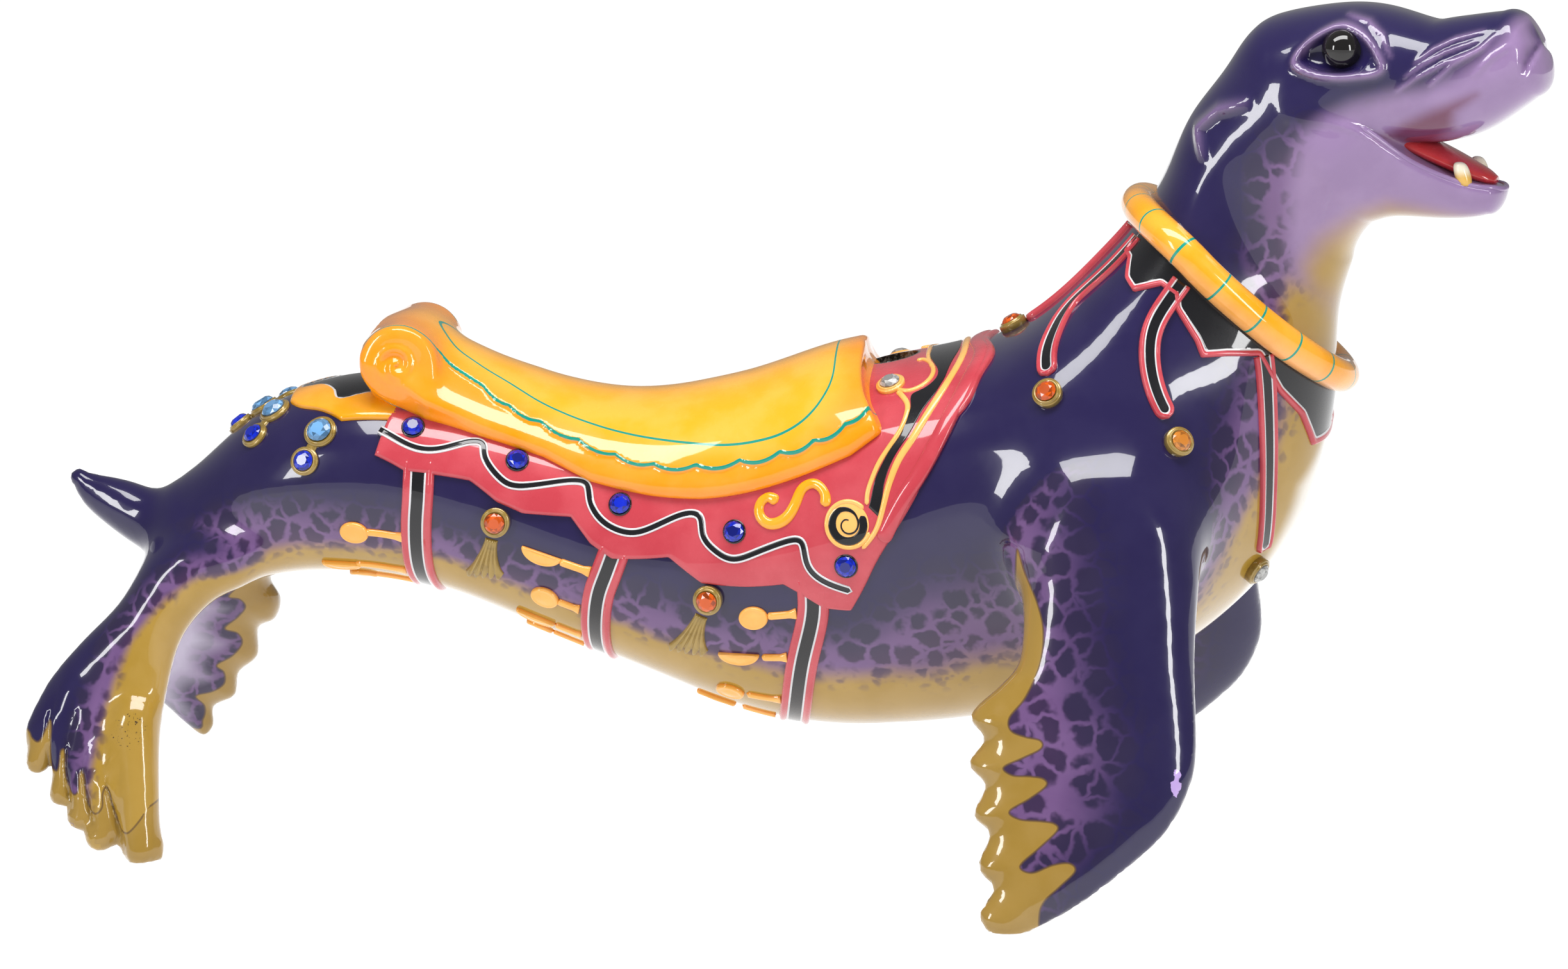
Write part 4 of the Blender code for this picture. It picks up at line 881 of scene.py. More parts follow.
def trunk(p):
    """The figure below the collar, with the pole's bore and the flat seat under its belly."""
    form = figure(p)
    across = np.hypot(p[:, 0] - POLE_X, p[:, 1])
    near = across < POLE_SEAT
    seat = np.maximum(across - POLE_SEAT / 2, p[:, 2] - SEAT_HEIGHT)
    form[near] = carved_out(form[near], seat[near], BORE_ROUND)
    form[near] = carved_out(form[near], across[near] - POLE_BORE / 2, BORE_ROUND)
    return np.maximum(form, above_collar(p) - OVERLAP)


def refined(points, faces, form):
    """The skin's mesh, its edges halved twice along the flippers' gold borders to paint them sharp."""
    mesh = mesh_of("Refining", points, faces)
    shape = bmesh.new()
    shape.from_mesh(mesh)
    bpy.data.meshes.remove(mesh)
    for reach in (10 * MM, 5 * MM):
        close = np.abs(skin_paint(points)["edge"]) < reach
        ends = np.array([[v.index for v in edge.verts] for edge in shape.edges])
        shape.edges.ensure_lookup_table()
        halved = [shape.edges[i] for i in np.flatnonzero(close[ends].all(1))]
        bmesh.ops.subdivide_edges(shape, edges=halved, cuts=1, use_grid_fill=True)
        shape.verts.index_update()
        points = np.array([v.co for v in shape.verts])
        off = np.abs(form(points)) > 0.01 * MM
        points[off] = onto_skin(points[off], form)
    faces = [[v.index for v in face.verts] for face in shape.faces]
    shape.free()
    return points, faces


low, high = pattern([(-880, -440, -40), (640, 440, 900)])
points, faces = refined(*skin_mesh(trunk, low, high, BODY_STEP), trunk)
points[:, 2] = np.maximum(points[:, 2], 0)
skin = piece("Body_skin", points, faces, skin_enamel, turn_out=False, **skin_paint(points))
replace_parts(skin, "Sea_lion")

# The head and neck above the collar
# The same moulded shell, carved finely round the eyes, ears and muzzle, so it has a finer mesh. It
# meets the body under the collar's ring.
HEAD_STEP = 0.0032


def head_and_neck(p):
    """The figure in front of the collar's plane."""
    return np.maximum(figure(p), -above_collar(p) - OVERLAP)


low, high = pattern([(300, -380, 480), (890, 200, 980)])
points, faces = skin_mesh(head_and_neck, low, high, HEAD_STEP)
piece("Head_skin", points, faces, skin_enamel, turn_out=False, **skin_paint(points))

# Crupper
# A raised panel moulded in one with the rump and enamelled: black in its middle inside a silver
# line, and bordered in yellow that runs forward under the saddle's corners.
ROOT = 4 * MM             # how deep each raised piece reaches below the skin
TRIM_THICKNESS = 5 * MM
CORAL, YELLOW = (0.56, 0.07, 0.09, 1), (0.95, 0.4, 0.03, 1)
BLACK, WHITE = (0.006, 0.006, 0.008, 1), (0.66, 0.66, 0.68, 1)
CRUPPER_HALF, CRUPPER_FRONT = 50, 236        # degrees down each side, and mm along the spine
CRUPPER_CORNERS = np.array([(23, 139), (33, 150), (40, 167), (50, 186)])     # rear edge: degrees, mm
CRUPPER_BLACK = np.array([(250, 31), (209, 31), (183, 35), (176, 24), (165, 13), (147, 6)])
DEGREE = 2.2              # millimetres of skin to a degree, near the rump and the neck
PAINT_EDGE = 0.2 * MM     # half the width of the soft edge between two enamels


def skin_at(places, side=1):
    """Points of the skin at places: out from the spine along a ray, drawn in by the field."""
    places = np.asarray(places, float)
    s = np.interp(places[:, 0], RUN, STATIONS)
    at, way, _ = along(SPINE, s)
    way = unit(way[:, :2])
    round_by = np.radians(side * places[:, 1])
    up, aside = np.cos(round_by), -np.sin(round_by)
    ray = np.stack([-way[:, 1] * up, aside, way[:, 0] * up], 1)
    centre = np.stack([at[:, 0], np.zeros(len(at)), at[:, 1]], 1)
    size = np.stack([np.where(up > 0, at[:, 2], at[:, 3]), at[:, 4]])
    reach = 1 / np.sqrt(((np.stack([up, aside]) / size) ** 2).sum(0))
    for _ in range(6):
        reach = reach - 0.9 * figure(centre + reach[:, None] * ray)
    return centre + reach[:, None] * ray


def curve(x, table):
    """Height of the smooth curve through a table's points, at x."""
    dense = along(spline_through(table), np.linspace(0, len(table) - 1, 40 * len(table)))[0]
    return np.interp(x, dense[:, 0], dense[:, 1])


def edged(low, high, count):
    """Even steps from low to high, with closer ones by both ends to round them off."""
    steps = np.linspace(low, high, count)
    close = (steps[1] - low) * np.array([0.12, 0.3, 0.6])
    return np.concatenate([[low], low + close, steps[1:-1], high - close[::-1], [high]])


def slab(outer, inner):
    """Closed shape between two grids of points, the outer one above the other."""
    rows, columns = outer.shape[:2]
    number = np.arange(rows * columns).reshape(rows, columns)
    quad = np.stack([number[:-1, :-1], number[1:, :-1], number[1:, 1:], number[:-1, 1:]], -1)
    quad = quad.reshape(-1, 4)
    under = rows * columns
    rim = np.concatenate([number[0, :-1], number[:-1, -1], number[-1, :0:-1], number[:0:-1, 0]])
    after = np.roll(rim, -1)
    walls = np.stack([rim, after, after + under, rim + under], 1)
    points = np.vstack([outer.reshape(-1, 3), inner.reshape(-1, 3)])
    return points, np.vstack([quad, quad[:, ::-1] + under, walls])


def raised(base, out, height, root=ROOT):
    """Closed shape on a grid of skin points: height above the skin, and root below it."""
    return slab(base + out * height[..., None], base - out * root)


def rim_depth(base):
    """Distance in from the nearest edge of a grid of points, measured along its lines."""
    depth = np.full(base.shape[:2], np.inf)
    for axis in (0, 1):
        run = np.insert(np.linalg.norm(np.diff(base, axis=axis), axis=-1).cumsum(axis), 0, 0, axis)
        depth = np.minimum(depth, np.minimum(run, run.max(axis, keepdims=True) - run))
    return depth


def rounded(depth, radius):
    """Quarter round: 0 at the edge and 1 from one radius in."""
    return np.sqrt(1 - (1 - np.clip(depth / radius, 0, 1)) ** 2)


def over_skin(places):
    """Skin points of a grid of places, and the way out of the skin there."""
    base = skin_at(places.reshape(-1, 2))
    return base.reshape(*places.shape[:2], 3), unit(outward(base)).reshape(*places.shape[:2], 3)


def twice(values):
    """A grid's values for the outer points and for the inner ones below them."""
    return np.concatenate([np.ravel(values), np.ravel(values)])


def silver_lined_tint(bead, line, outer):
    """Outer colour as far in as bead, then a silver line, then black, by the field inset."""
    def tint(shade):
        """The three colours, one over the other."""
        inset, line_end = shade.attribute("inset"), bead + line
        colour = shade.colour(inset.rise(bead - PAINT_EDGE, bead + PAINT_EDGE), outer, WHITE)
        return shade.colour(inset.rise(line_end - PAINT_EDGE, line_end + PAINT_EDGE), colour, BLACK)
    return tint


share, angle = np.meshgrid(edged(0, 1, 28), edged(-CRUPPER_HALF, CRUPPER_HALF, 60), indexing="ij")
straight_to, straight_rear = CRUPPER_CORNERS[0]
rear = curve(np.abs(angle), CRUPPER_CORNERS)
rear = np.where(np.abs(angle) < straight_to, straight_rear, rear)
places = np.stack([rear + share * (CRUPPER_FRONT - rear), angle], -1)
base, out = over_skin(places)
depth = rim_depth(base)
metric = np.stack([places[..., 0], np.abs(angle) * DEGREE], -1).reshape(-1, 2)
panel = smooth_outline(np.vstack([CRUPPER_BLACK, CRUPPER_BLACK[::-1] * (1, -1)]) * (1, DEGREE))
black = depth_inside(metric, panel).reshape(share.shape) * MM
height = TRIM_THICKNESS * rounded(depth, 5 * MM) - 1.5 * MM * np.clip(black / (3 * MM), 0, 1)
crupper_enamel = enamel("Crupper enamel", silver_lined_tint(0.0, 1.6 * MM, YELLOW))
piece("Crupper_panel", *raised(base, out, height), crupper_enamel, inset=twice(black))

# Blanket
# A raised cloth moulded in one with the back, coral red with a rounded front edge and a scalloped
# hem, painted with a black wave between two silver lines.
BLANKET_THICKNESS = 5 * MM
BLANKET_REAR = np.array([(0, 228), (40, 227), (49, 226), (63, 221), (71, 218)])
BLANKET_LOWER_EDGE = np.array([
    (218, 70), (251, 77), (316, 74), (350, 80), (380, 81), (430, 75), (460, 84), (488, 88),
    (549, 82), (588, 91), (637, 92), (675, 92), (689, 96), (710, 103), (735, 106),
])
BLANKET_FRONT = np.array([
    (-32, 1019), (0, 1014), (32, 1019), (46, 993), (56, 959), (61, 912), (69, 871), (76, 845),
    (88, 792), (97, 762), (106, 735), (112, 715),
])
WAVE = np.array([
    (221, 57), (251, 64), (279, 63), (304, 56), (318, 55.5), (325, 62), (346, 69), (371, 69), (410, 61),
    (436, 59), (447, 66), (468, 73), (496, 75), (521, 72), (556, 65), (582, 65), (588, 72), (604, 78),
    (625, 81), (654, 79), (690, 77), (706, 79), (706, 86), (718, 93), (744, 99),
])
FRONT_ROLL = [
    (790, 86), (823, 77), (854, 71), (886, 65), (927, 57), (968, 47), (1000, 31), (1000, 12), (998, 0),
]
ROLL_WIDTH, ROLL_HEIGHT, ROLL_ROUND = 17 * MM, 3.5 * MM, 8 * MM
WAVE_WIDTH, WAVE_BEAD, WAVE_SUNK = 9.2 * MM, 0.9 * MM, 0.6 * MM
WAVE_LINE = 1.9 * MM      # width of each silver line


def full_turn(count, start=0.0):
    """Angles of even steps once round, the first one a share of a step on."""
    return 2 * np.pi * (np.arange(count) + start) / count


def loft(rings):
    """Closed shape through rings of points, flat at both ends."""
    rings = np.asarray(rings)
    here = np.arange(rings.shape[0] * rings.shape[1]).reshape(rings.shape[:2])
    after = np.roll(here, -1, 1)
    walls = np.stack([here[:-1], after[:-1], after[1:], here[1:]], -1).reshape(-1, 4)
    return rings.reshape(-1, 3), [*walls.tolist(), here[0, ::-1].tolist(), here[-1].tolist()]


def bored(points, faces):
    """A closed shape with the pole's bore cut through it: its points and faces."""
    turn = full_turn(64)
    round_edge = np.stack([POLE_X + POLE_BORE / 2 * np.cos(turn), POLE_BORE / 2 * np.sin(turn)], 1)
    drill = loft([np.column_stack([round_edge, 0 * turn + z]) for z in (0, 1)])
    helpers = [linked("Boring", mesh_of("Boring", *shape)) for shape in ((points, faces), drill)]
    cut = helpers[0].modifiers.new("Bore", "BOOLEAN")
    cut.operation, cut.object, cut.solver = "DIFFERENCE", helpers[1], "MANIFOLD"
    result = helpers[0].evaluated_get(bpy.context.evaluated_depsgraph_get()).to_mesh()
    points = np.array([tuple(vertex.co) for vertex in result.vertices])
    faces = [tuple(face.vertices) for face in result.polygons]
    for helper in helpers:
        mesh = helper.data
        bpy.data.objects.remove(helper)
        bpy.data.meshes.remove(mesh)
    return points, faces


share, part = np.meshgrid(edged(0, 1, 170), edged(-1, 1, 150), indexing="ij")
hem = np.full(share.shape, 80.0)
for _ in range(6):
    front, rear = curve(hem, BLANKET_FRONT), np.interp(hem, *BLANKET_REAR.T)
    hem = 0.5 * hem + 0.5 * np.interp(rear + share * (front - rear), *BLANKET_LOWER_EDGE.T)
angle = part * hem
front, rear = curve(np.abs(angle), BLANKET_FRONT), np.interp(np.abs(angle), *BLANKET_REAR.T)
base, out = over_skin(np.stack([rear + share * (front - rear), angle], -1))
height = BLANKET_THICKNESS * rounded(rim_depth(base), 4 * MM)
coral_enamel = enamel("Coral enamel", lambda shade: bored_tint(shade, CORAL), mottle=0.1)
piece("Blanket_cloth", *bored(*raised(base, out, height)), coral_enamel, sharp=40)


def smooth_line(corners, per):
    """Points along a smooth open curve through the corners."""
    control = spline_through(np.asarray(corners, float))
    return along(control, np.linspace(0, len(corners) - 1, (len(corners) - 1) * per + 1))[0]


def mirrored(line, signs=(1, -1)):
    """A line carried on from its last point as its own mirror, backwards."""
    return np.vstack([line, np.asarray(line)[-2::-1] * signs])


def across_back(half, per):
    """Skin points of a line that ends at the ridge, carried on down the other side."""
    return skin_at(smooth_line(mirrored(half), per))


def strip(route, width, height, lift=0.0, across=11, round_ends=(True, True)):
    """Band along a line of skin points: height(inset) above the skin, inset being the depth in.

    width is one width, or one for each point. The ends are half round where round_ends says.
    Returns the points, the faces and inset.
    """
    run = np.insert(np.linalg.norm(np.diff(route, axis=0), axis=1).cumsum(), 0, 0)
    radius = np.broadcast_to(np.asarray(width) / 2, len(run))
    short = radius.copy()
    for near_end, at_end in zip(round_ends, (run, run[-1] - run)):
        if near_end:
            short = np.minimum(short, at_end)
    half = radius * np.maximum(rounded(short, radius), 0.04)
    share = -np.cos(np.pi * np.arange(across) / (across - 1))
    out = unit(outward(route))
    way = unit(np.gradient(route, axis=0))
    offset = half[:, None] * share
    base = route[:, None] + unit(np.cross(out, way))[:, None] * offset[..., None]
    base = onto_skin(base.reshape(-1, 3)).reshape(base.shape)
    out = unit(outward(base.reshape(-1, 3))).reshape(base.shape)
    inset = radius[:, None] - np.hypot((radius - short)[:, None], offset)
    points, faces = raised(base, out, lift + height(inset))
    return points, faces, twice(inset)


def gather(shapes):
    """Several closed shapes, each points, faces and fields, as one."""
    points, faces, used = [], [], 0
    for shape_points, shape_faces, *_ in shapes:
        points.append(shape_points)
        faces += [[int(v) + used for v in face] for face in shape_faces]
        used += len(shape_points)
    fields = [np.concatenate(parts) for parts in zip(*(shape[2:] for shape in shapes))]
    return np.vstack(points), faces, *fields


def half_round(height, radius):
    """Height of a bead with a quarter round on both its edges."""
    return lambda inset: height * rounded(inset, radius)


def silver_wave(inset):
    """Height of two thin beads with a sunk middle."""
    sunk = WAVE_SUNK * np.clip((inset - 1.4 * MM) / WAVE_SUNK, 0, 1)
    return WAVE_BEAD * rounded(inset, WAVE_BEAD) - sunk


route = across_back(FRONT_ROLL, 12)
roll = strip(route, ROLL_WIDTH, half_round(ROLL_HEIGHT, ROLL_ROUND), BLANKET_THICKNESS - MM, 21)
piece("Blanket_front_roll", *roll[:2], coral_enamel)
waves = []
for side in (1, -1):
    route = skin_at(smooth_line(WAVE, 8), side)
    waves.append(strip(route, WAVE_WIDTH, silver_wave, BLANKET_THICKNESS, 13, (False, True)))
points, faces, inset = gather(waves)
wave_enamel = enamel("Wave enamel", silver_lined_tint(WAVE_LINE, 0.0, WHITE), mottle=0.0)
piece("Blanket_wave", points, faces, wave_enamel, inset=inset)

# Scrollwork of the blanket
# A black band between raised cream lines that crosses the back before the saddle, curls round the
# pole's bore and ends low on each side in a coil, with a raised yellow S beside it.
BAND = np.array([
    (931, 0, 976, 0), (929, 14, 971, 17), (936, 29, 950, 34), (928, 37, 938, 40), (906, 40, 921, 45),
    (887, 41, 905, 48), (881, 46, 890, 51), (871, 50, 877, 54), (856, 55, 863, 57), (840, 58, 846, 60),
    (822, 62, 829, 64), (808, 66, 815, 69), (799, 70, 806, 74), (790, 74, 797, 78),
])
FRONT_LINE = [(768, 86), (788, 82), (802, 77), (814, 72), (825, 68), (843, 63), (865, 59), (891, 54),
              (920, 48), (955, 38), (978, 22), (983, 0)]
REAR_LINE = [(789, 73), (795, 69), (806, 65), (820, 61), (840, 57), (859, 53), (873, 48), (877, 43),
             (869, 36)]
CURL = [(869, 35), (885, 38), (905, 38), (922, 35), (930, 29), (927, 21), (918, 16), (908, 16)]
RIDGE_LINE = [(930, 28), (926, 14), (927, 0)]
COIL_CENTRE, COIL_DISC, COIL_RING, COIL_LINE = np.array((762, 77)), 22.5 * MM, 24.3 * MM, 4.8 * MM
COIL_DEGREE, COIL_TILT = 3.2, 16     # millimetres of skin to a degree there, and the coil's lean
S_LINE = [(742, 69), (746, 65), (738, 60.5), (722, 60.5), (711, 64), (699, 68), (685, 70), (670, 69.5),
          (661, 66), (664, 62), (676, 60.5), (687, 63)]
CURL_WIDTH, RIDGE_WIDTH, CREAM_HEIGHT = 5.5 * MM, 5 * MM, 2.2 * MM
CREAM_LINE = (0.96, 0.5, 0.14, 1)
cream_enamel = enamel("Cream line enamel", CREAM_LINE, mottle=0.08)
yellow_enamel = enamel("Yellow enamel", YELLOW, mottle=0.08)
AHEAD = np.array((1.0, 0, 0))


def coil(turns, radii, side):
    """Skin points of a coil: its radius in metres at each angle in degrees, from the front down."""
    turn = np.radians(turns + COIL_TILT)
    flat = np.stack([np.cos(turn), np.sin(turn) / COIL_DEGREE], 1) * radii[:, None] / MM
    return skin_at(COIL_CENTRE + flat, side)


def cream_strip(route, width):
    """A raised half-round line on the blanket."""
    return strip(route, width, half_round(CREAM_HEIGHT, 0.5 * np.max(width)), BLANKET_THICKNESS)[:2]


def ellipse(half_length, half_width, count=40):
    """Points (ahead, aside) of an ellipse, anticlockwise."""
    turn = full_turn(count, 0.5)
    return np.stack([half_length * np.cos(turn), half_width * np.sin(turn)], 1)


def boss(centre, ahead, outline, profile):
    """Closed shape on the skin. Its outline (ahead, aside) shrinks through the profile's steps,
    each a share of the outline and a height above the skin."""
    out = unit(outward(centre[None]))[0]
    ahead = unit(ahead - out * (ahead @ out))
    flat = outline[:, :1] * ahead + outline[:, 1:] * np.cross(out, ahead)
    shares, heights = np.array(profile).T
    base = onto_skin((centre + shares[:, None, None] * flat).reshape(-1, 3), limit=12 * MM)
    out = unit(outward(base))
    return loft((base + out * np.repeat(heights, len(outline))[:, None]).reshape(len(shares), -1, 3))


rows = smooth_line(mirrored(BAND[::-1], (1, -1, 1, -1)), 6)
share = edged(0, 1, 12)[None, :, None]
base, out = over_skin(rows[:, None, :2] * (1 - share) + rows[:, None, 2:] * share)
height = BLANKET_THICKNESS + 0.8 * MM * rounded(rim_depth(base), 0.6 * MM)
black_shapes = [raised(base, out, height, 0)]
turns = np.arange(-30, 650, 6.0)
radii = np.interp(turns, (-30, 240, 330, 450, 650), (17.5, 17.5, 12.5, 9.5, 4.5)) * MM
widths = np.interp(turns, (-30, 180, 320, 650), (8.5, 8.5, 2.2, 1.5)) * MM
ring = np.arange(20, 322, 6.0)
flat_top = BLANKET_THICKNESS + 1.3 * MM
disc = [(1, 0), (1, flat_top - 0.6 * MM), (0.94, flat_top - 0.1 * MM), (0.5, flat_top), (0.05, flat_top)]
cream_shapes, yellow_shapes = [], []
for side in (1, -1):
    coil_black = strip(coil(turns, radii, side), widths, half_round(0.5 * MM, 0.4 * MM), flat_top, 9)
    black_shapes.append(coil_black[:2])
    centre = skin_at([COIL_CENTRE], side)[0]
    rear = skin_at(smooth_line(REAR_LINE, 8), side)
    s_line = skin_at(smooth_line(S_LINE, 8), side)
    share = np.linspace(0, 1, len(s_line))
    s_width = np.interp(share, (0, 0.12, 0.5, 0.88, 1), (13, 10, 12.5, 10, 13)) * MM
    cream_shapes += [
        boss(centre, AHEAD, ellipse(COIL_DISC, COIL_DISC), disc),
        cream_strip(coil(ring, np.full(len(ring), COIL_RING), side), COIL_LINE),
        cream_strip(rear, np.linspace(4.8, 6.2, len(rear)) * MM),
        cream_strip(skin_at(smooth_line(CURL, 8), side), CURL_WIDTH),
    ]
    yellow_shapes.append(strip(s_line, s_width, half_round(4 * MM, 5.5 * MM), BLANKET_THICKNESS, 15)[:2])
front = across_back(FRONT_LINE, 8)
front_width = np.interp(np.linspace(-1, 1, len(front)), (-1, -0.4, 0.4, 1), (4.8, 8.5, 8.5, 4.8)) * MM
cream_shapes.append(cream_strip(front, front_width))
cream_shapes.append(cream_strip(across_back(RIDGE_LINE, 10), RIDGE_WIDTH))
black_enamel = enamel("Black enamel", BLACK, mottle=0.0)
piece("Blanket_black_band", *gather(black_shapes), black_enamel)
piece("Blanket_cream_lines", *gather(cream_shapes), cream_enamel)
piece("Blanket_yellow_S", *gather(yellow_shapes), yellow_enamel)

# Saddle
# A padded seat moulded in one with the back. It rolls over into a scroll behind, its lower edge is
# a rounded roll, and a scalloped ledge parts the seat from its skirt. Green lines are painted on it.
SADDLE_STEP = 0.0031
SADDLE_THICKNESS = 36 * MM
SADDLE_EDGE = np.array([
    (170, 24), (200, 31), (214, 35), (226, 39), (258, 47), (312, 50), (380, 51), (438, 56), (517, 57),
    (582, 57), (652, 56), (728, 55), (787, 54), (824, 51), (860, 49),
])
SADDLE_FRONT = np.array([
    (-8, 843), (0, 843), (10, 843), (25, 836), (33, 833), (39, 833), (47, 837), (60, 838),
])
SADDLE_RISE = np.array([
    (170, 1.2), (200, 1.5), (230, 1.62), (262, 1.36), (300, 1.05), (340, 0.93), (400, 0.9), (560, 1.0),
    (700, 0.97), (790, 0.95), (860, 0.86),
])
SADDLE_REAR, SADDLE_DEGREE = 214, 2.75       # rear end, and millimetres of its surface to a degree
LEDGE_CUSPS = np.array([
    (170, 30), (262, 25), (302, 31), (330, 37), (365, 40), (410, 43.5), (459, 46.5), (511, 48.5),
    (571, 48.5), (639, 48.5), (703, 49), (751, 49), (795, 47.5), (836, 43), (880, 40),
])
LEDGE_SAG, LEDGE_STEP = 1.9, 4.5 * MM
SEAT_LINE = np.array([
    (250, 0), (266, 12), (290, 18), (318, 23), (352, 29), (387, 32.5), (430, 35), (475, 37), (515, 38.5),
    (555, 40), (610, 42), (663, 43), (710, 43), (747, 40.5), (775, 35), (793, 27), (801, 14), (803, 0),
])
CANTLE_CENTRE = pattern((-408, 533))
CANTLE_ROLL, CANTLE_HALF_WIDTH, CANTLE_PITCH = 84 * MM, 95 * MM, 17 * MM
SADDLE_ROUND, SCROLL_FILLET = 15 * MM, 26 * MM
SCROLL_LINE, SCROLL_LINE_FROM = 86 * MM, -365 * MM    # aside, and where along it takes over
SEAT_COLOUR, SKIRT_COLOUR, GREEN = (1.0, 0.47, 0.05, 1), (0.96, 0.32, 0.02, 1), (0.005, 0.3, 0.22, 1)


def ledge_depth(run, angle):
    """Metres below the scalloped line, which hangs between its cusps."""
    at = np.clip(np.searchsorted(LEDGE_CUSPS[:, 0], run) - 1, 0, len(LEDGE_CUSPS) - 2)
    first, second = LEDGE_CUSPS[at], LEDGE_CUSPS[at + 1]
    t = np.clip((run - first[:, 0]) / (second[:, 0] - first[:, 0]), 0, 1)
    sag = 4 * LEDGE_SAG * t * (1 - t) * (run > LEDGE_CUSPS[2, 0])
    line = first[:, 1] + (second[:, 1] - first[:, 1]) * t + sag
    return (angle - line) * SADDLE_DEGREE * MM


def saddle(p):
    """The padded seat over the skin, melted into a scroll across its back."""
    skin_gap = figure(p)
    run, angle = place_of(p)
    ledge = np.clip(ledge_depth(run, angle) / (3 * MM) + 0.5, 0, 1)
    rise = SADDLE_THICKNESS * curve(run, SADDLE_RISE) * (1.05 - 0.3 * (angle / 50) ** 2)
    padded = skin_gap - rise + LEDGE_STEP * ledge * ledge * (3 - 2 * ledge)
    bulge = 4 * MM * np.exp(-(((skin_gap - 8 * MM) / (8 * MM)) ** 2))
    side = (angle - np.interp(run, *SADDLE_EDGE.T)) * SADDLE_DEGREE * MM - bulge
    swell = 5 * MM * np.sin(np.pi * np.clip(skin_gap / (30 * MM), 0, 1))
    front = (run - curve(angle, SADDLE_FRONT)) * MM + swell
    form = carved_out(padded, -side, SADDLE_ROUND)
    form = carved_out(form, -front, SADDLE_ROUND)
    form = np.maximum(form, (SADDLE_REAR - run) * MM)
    form = np.maximum(form, -skin_gap - ROOT)
    x, z = p[:, 0] - CANTLE_CENTRE[0], p[:, 2] - CANTLE_CENTRE[1]
    radius = np.hypot(x, z)
    spiral = np.cos(2 * np.pi * radius / CANTLE_PITCH - np.arctan2(z, x) + 1.2)
    spiral = 2.6 * MM * spiral * np.clip((25 * MM - radius) / (6 * MM), 0, 1)
    end = np.abs(p[:, 1]) - CANTLE_HALF_WIDTH - spiral
    scroll = carved_out(radius - CANTLE_ROLL / 2, -end, 20 * MM)
    return blend(form, scroll, SCROLL_FILLET)


def saddle_tint(shade):
    """Yellow inside the painted oval, deeper towards the ledge, orange below it, with green lines."""
    ledge, seat = shade.attribute("ledge"), shade.attribute("seat")
    colour = shade.colour((0 - seat).rise(-0.01, 0.045), SEAT_COLOUR, SKIRT_COLOUR)
    colour = shade.colour(ledge.rise(-0.001, 0.001) * 0.8, colour, SKIRT_COLOUR)
    line = 1 - (abs(ledge + 0.0012).smaller(abs(seat))).rise(0.0011, 0.0016)
    return shade.colour(line, colour, GREEN)


low, high = pattern([(-470, -210, 330), (190, 210, 620)])
points, faces = skin_mesh(saddle, low, high, SADDLE_STEP)
run, angle = place_of(points)
seat_line = smooth_outline(np.vstack([SEAT_LINE, SEAT_LINE[-2:0:-1] * (1, -1)]) * (1, SADDLE_DEGREE))
seat = depth_inside(np.stack([run, angle * SADDLE_DEGREE], 1), seat_line) * MM
on_scroll = np.clip((SCROLL_LINE_FROM - points[:, 0]) / (25 * MM), 0, 1)
past_line = np.abs(points[:, 1]) - SCROLL_LINE
ledge = ledge_depth(run, angle) * (1 - on_scroll) + past_line * on_scroll
saddle_enamel = enamel("Saddle enamel", saddle_tint, mottle=0.06)
piece("Saddle_seat", points, faces, saddle_enamel, turn_out=False, ledge=ledge, seat=seat)

# Girth straps
# Three raised bands moulded in one with the belly, painted black between silver lines, with coral
# red beads at their edges.
STRAP_WIDTH, STRAP_THICKNESS, STRAP_BEAD, STRAP_LINE = 34 * MM, 3 * MM, 8.5 * MM, 2 * MM
STRAPS = {
    "Rear": [(262, 70), (268, 90), (271, 103), (280, 130), (289, 155), (291, 180)],
    "Middle": [(488, 84), (484, 97), (482, 110), (487, 135), (492, 160), (493, 180)],
    "Front": [(705, 92), (697, 105), (677, 122), (661, 145), (653, 166), (652, 180)],
}


def beaded(bead, thickness):
    """Height of a band whose edge is a half-round bead above a flat middle."""
    def height(inset):
        """Height at a depth in from the edge."""
        swell = 2.2 * MM * np.sin(np.pi * np.clip(inset / bead, 0, 1))
        return thickness * rounded(inset, 1.5 * MM) + swell
    return height


strap_height = beaded(STRAP_BEAD, STRAP_THICKNESS)
strap_enamel = enamel("Strap enamel", silver_lined_tint(STRAP_BEAD, STRAP_LINE, CORAL))
for name, places in STRAPS.items():
    route = skin_at(mirrored(smooth_line(places, 8)))
    points, faces, inset = strip(route, STRAP_WIDTH, strap_height, 0.0, 23, (False, False))
    piece(f"{name}_girth_strap", points, faces, strap_enamel, inset=inset)

# Spoons
# Raised spoons moulded in one with the belly. They hang on the straps, round ones and half-round
# ones by turns, and are a deeper orange round the foot.
SPOONS = {
    "Rear": [(193, 112, 258), (158, 139, 262), (180, 160, 272)],
    "Middle": [(413, 97, 468), (429, 118, 466), (424, 139, 472), (428, 160, 474)],
    "Front": [(639, 104, 682), (621, 121, 664), (609, 143, 650), (594, 163, 640)],
}
SPOON_HALF, BOWL_HALF, BOWL_DEPTH = pattern((16, 13)), 23 * MM, 14 * MM
SPOON, SPOON_RIM = (0.95, 0.47, 0.11, 1), (0.95, 0.36, 0.07, 1)


def spoon_tint(shade):
    """Deeper orange at the foot of the relief, fading out by 3 mm above the skin."""
    return shade.colour(shade.attribute("rise").rise(0.0008, 0.003), SPOON_RIM, SPOON)


def half_bowl():
    """Outline (ahead, aside) of a half-round bowl, flat above and round below, its corners eased."""
    turn = np.linspace(-np.pi, 0, 27)[1:-1]
    arc = np.stack([BOWL_HALF * np.cos(turn), BOWL_DEPTH * np.sin(turn)], 1)
    flat = np.linspace(0.97, -0.97, 15)[:, None] * (BOWL_HALF, 0)
    return np.vstack([arc, flat]) + (0, 0.3 * BOWL_DEPTH)


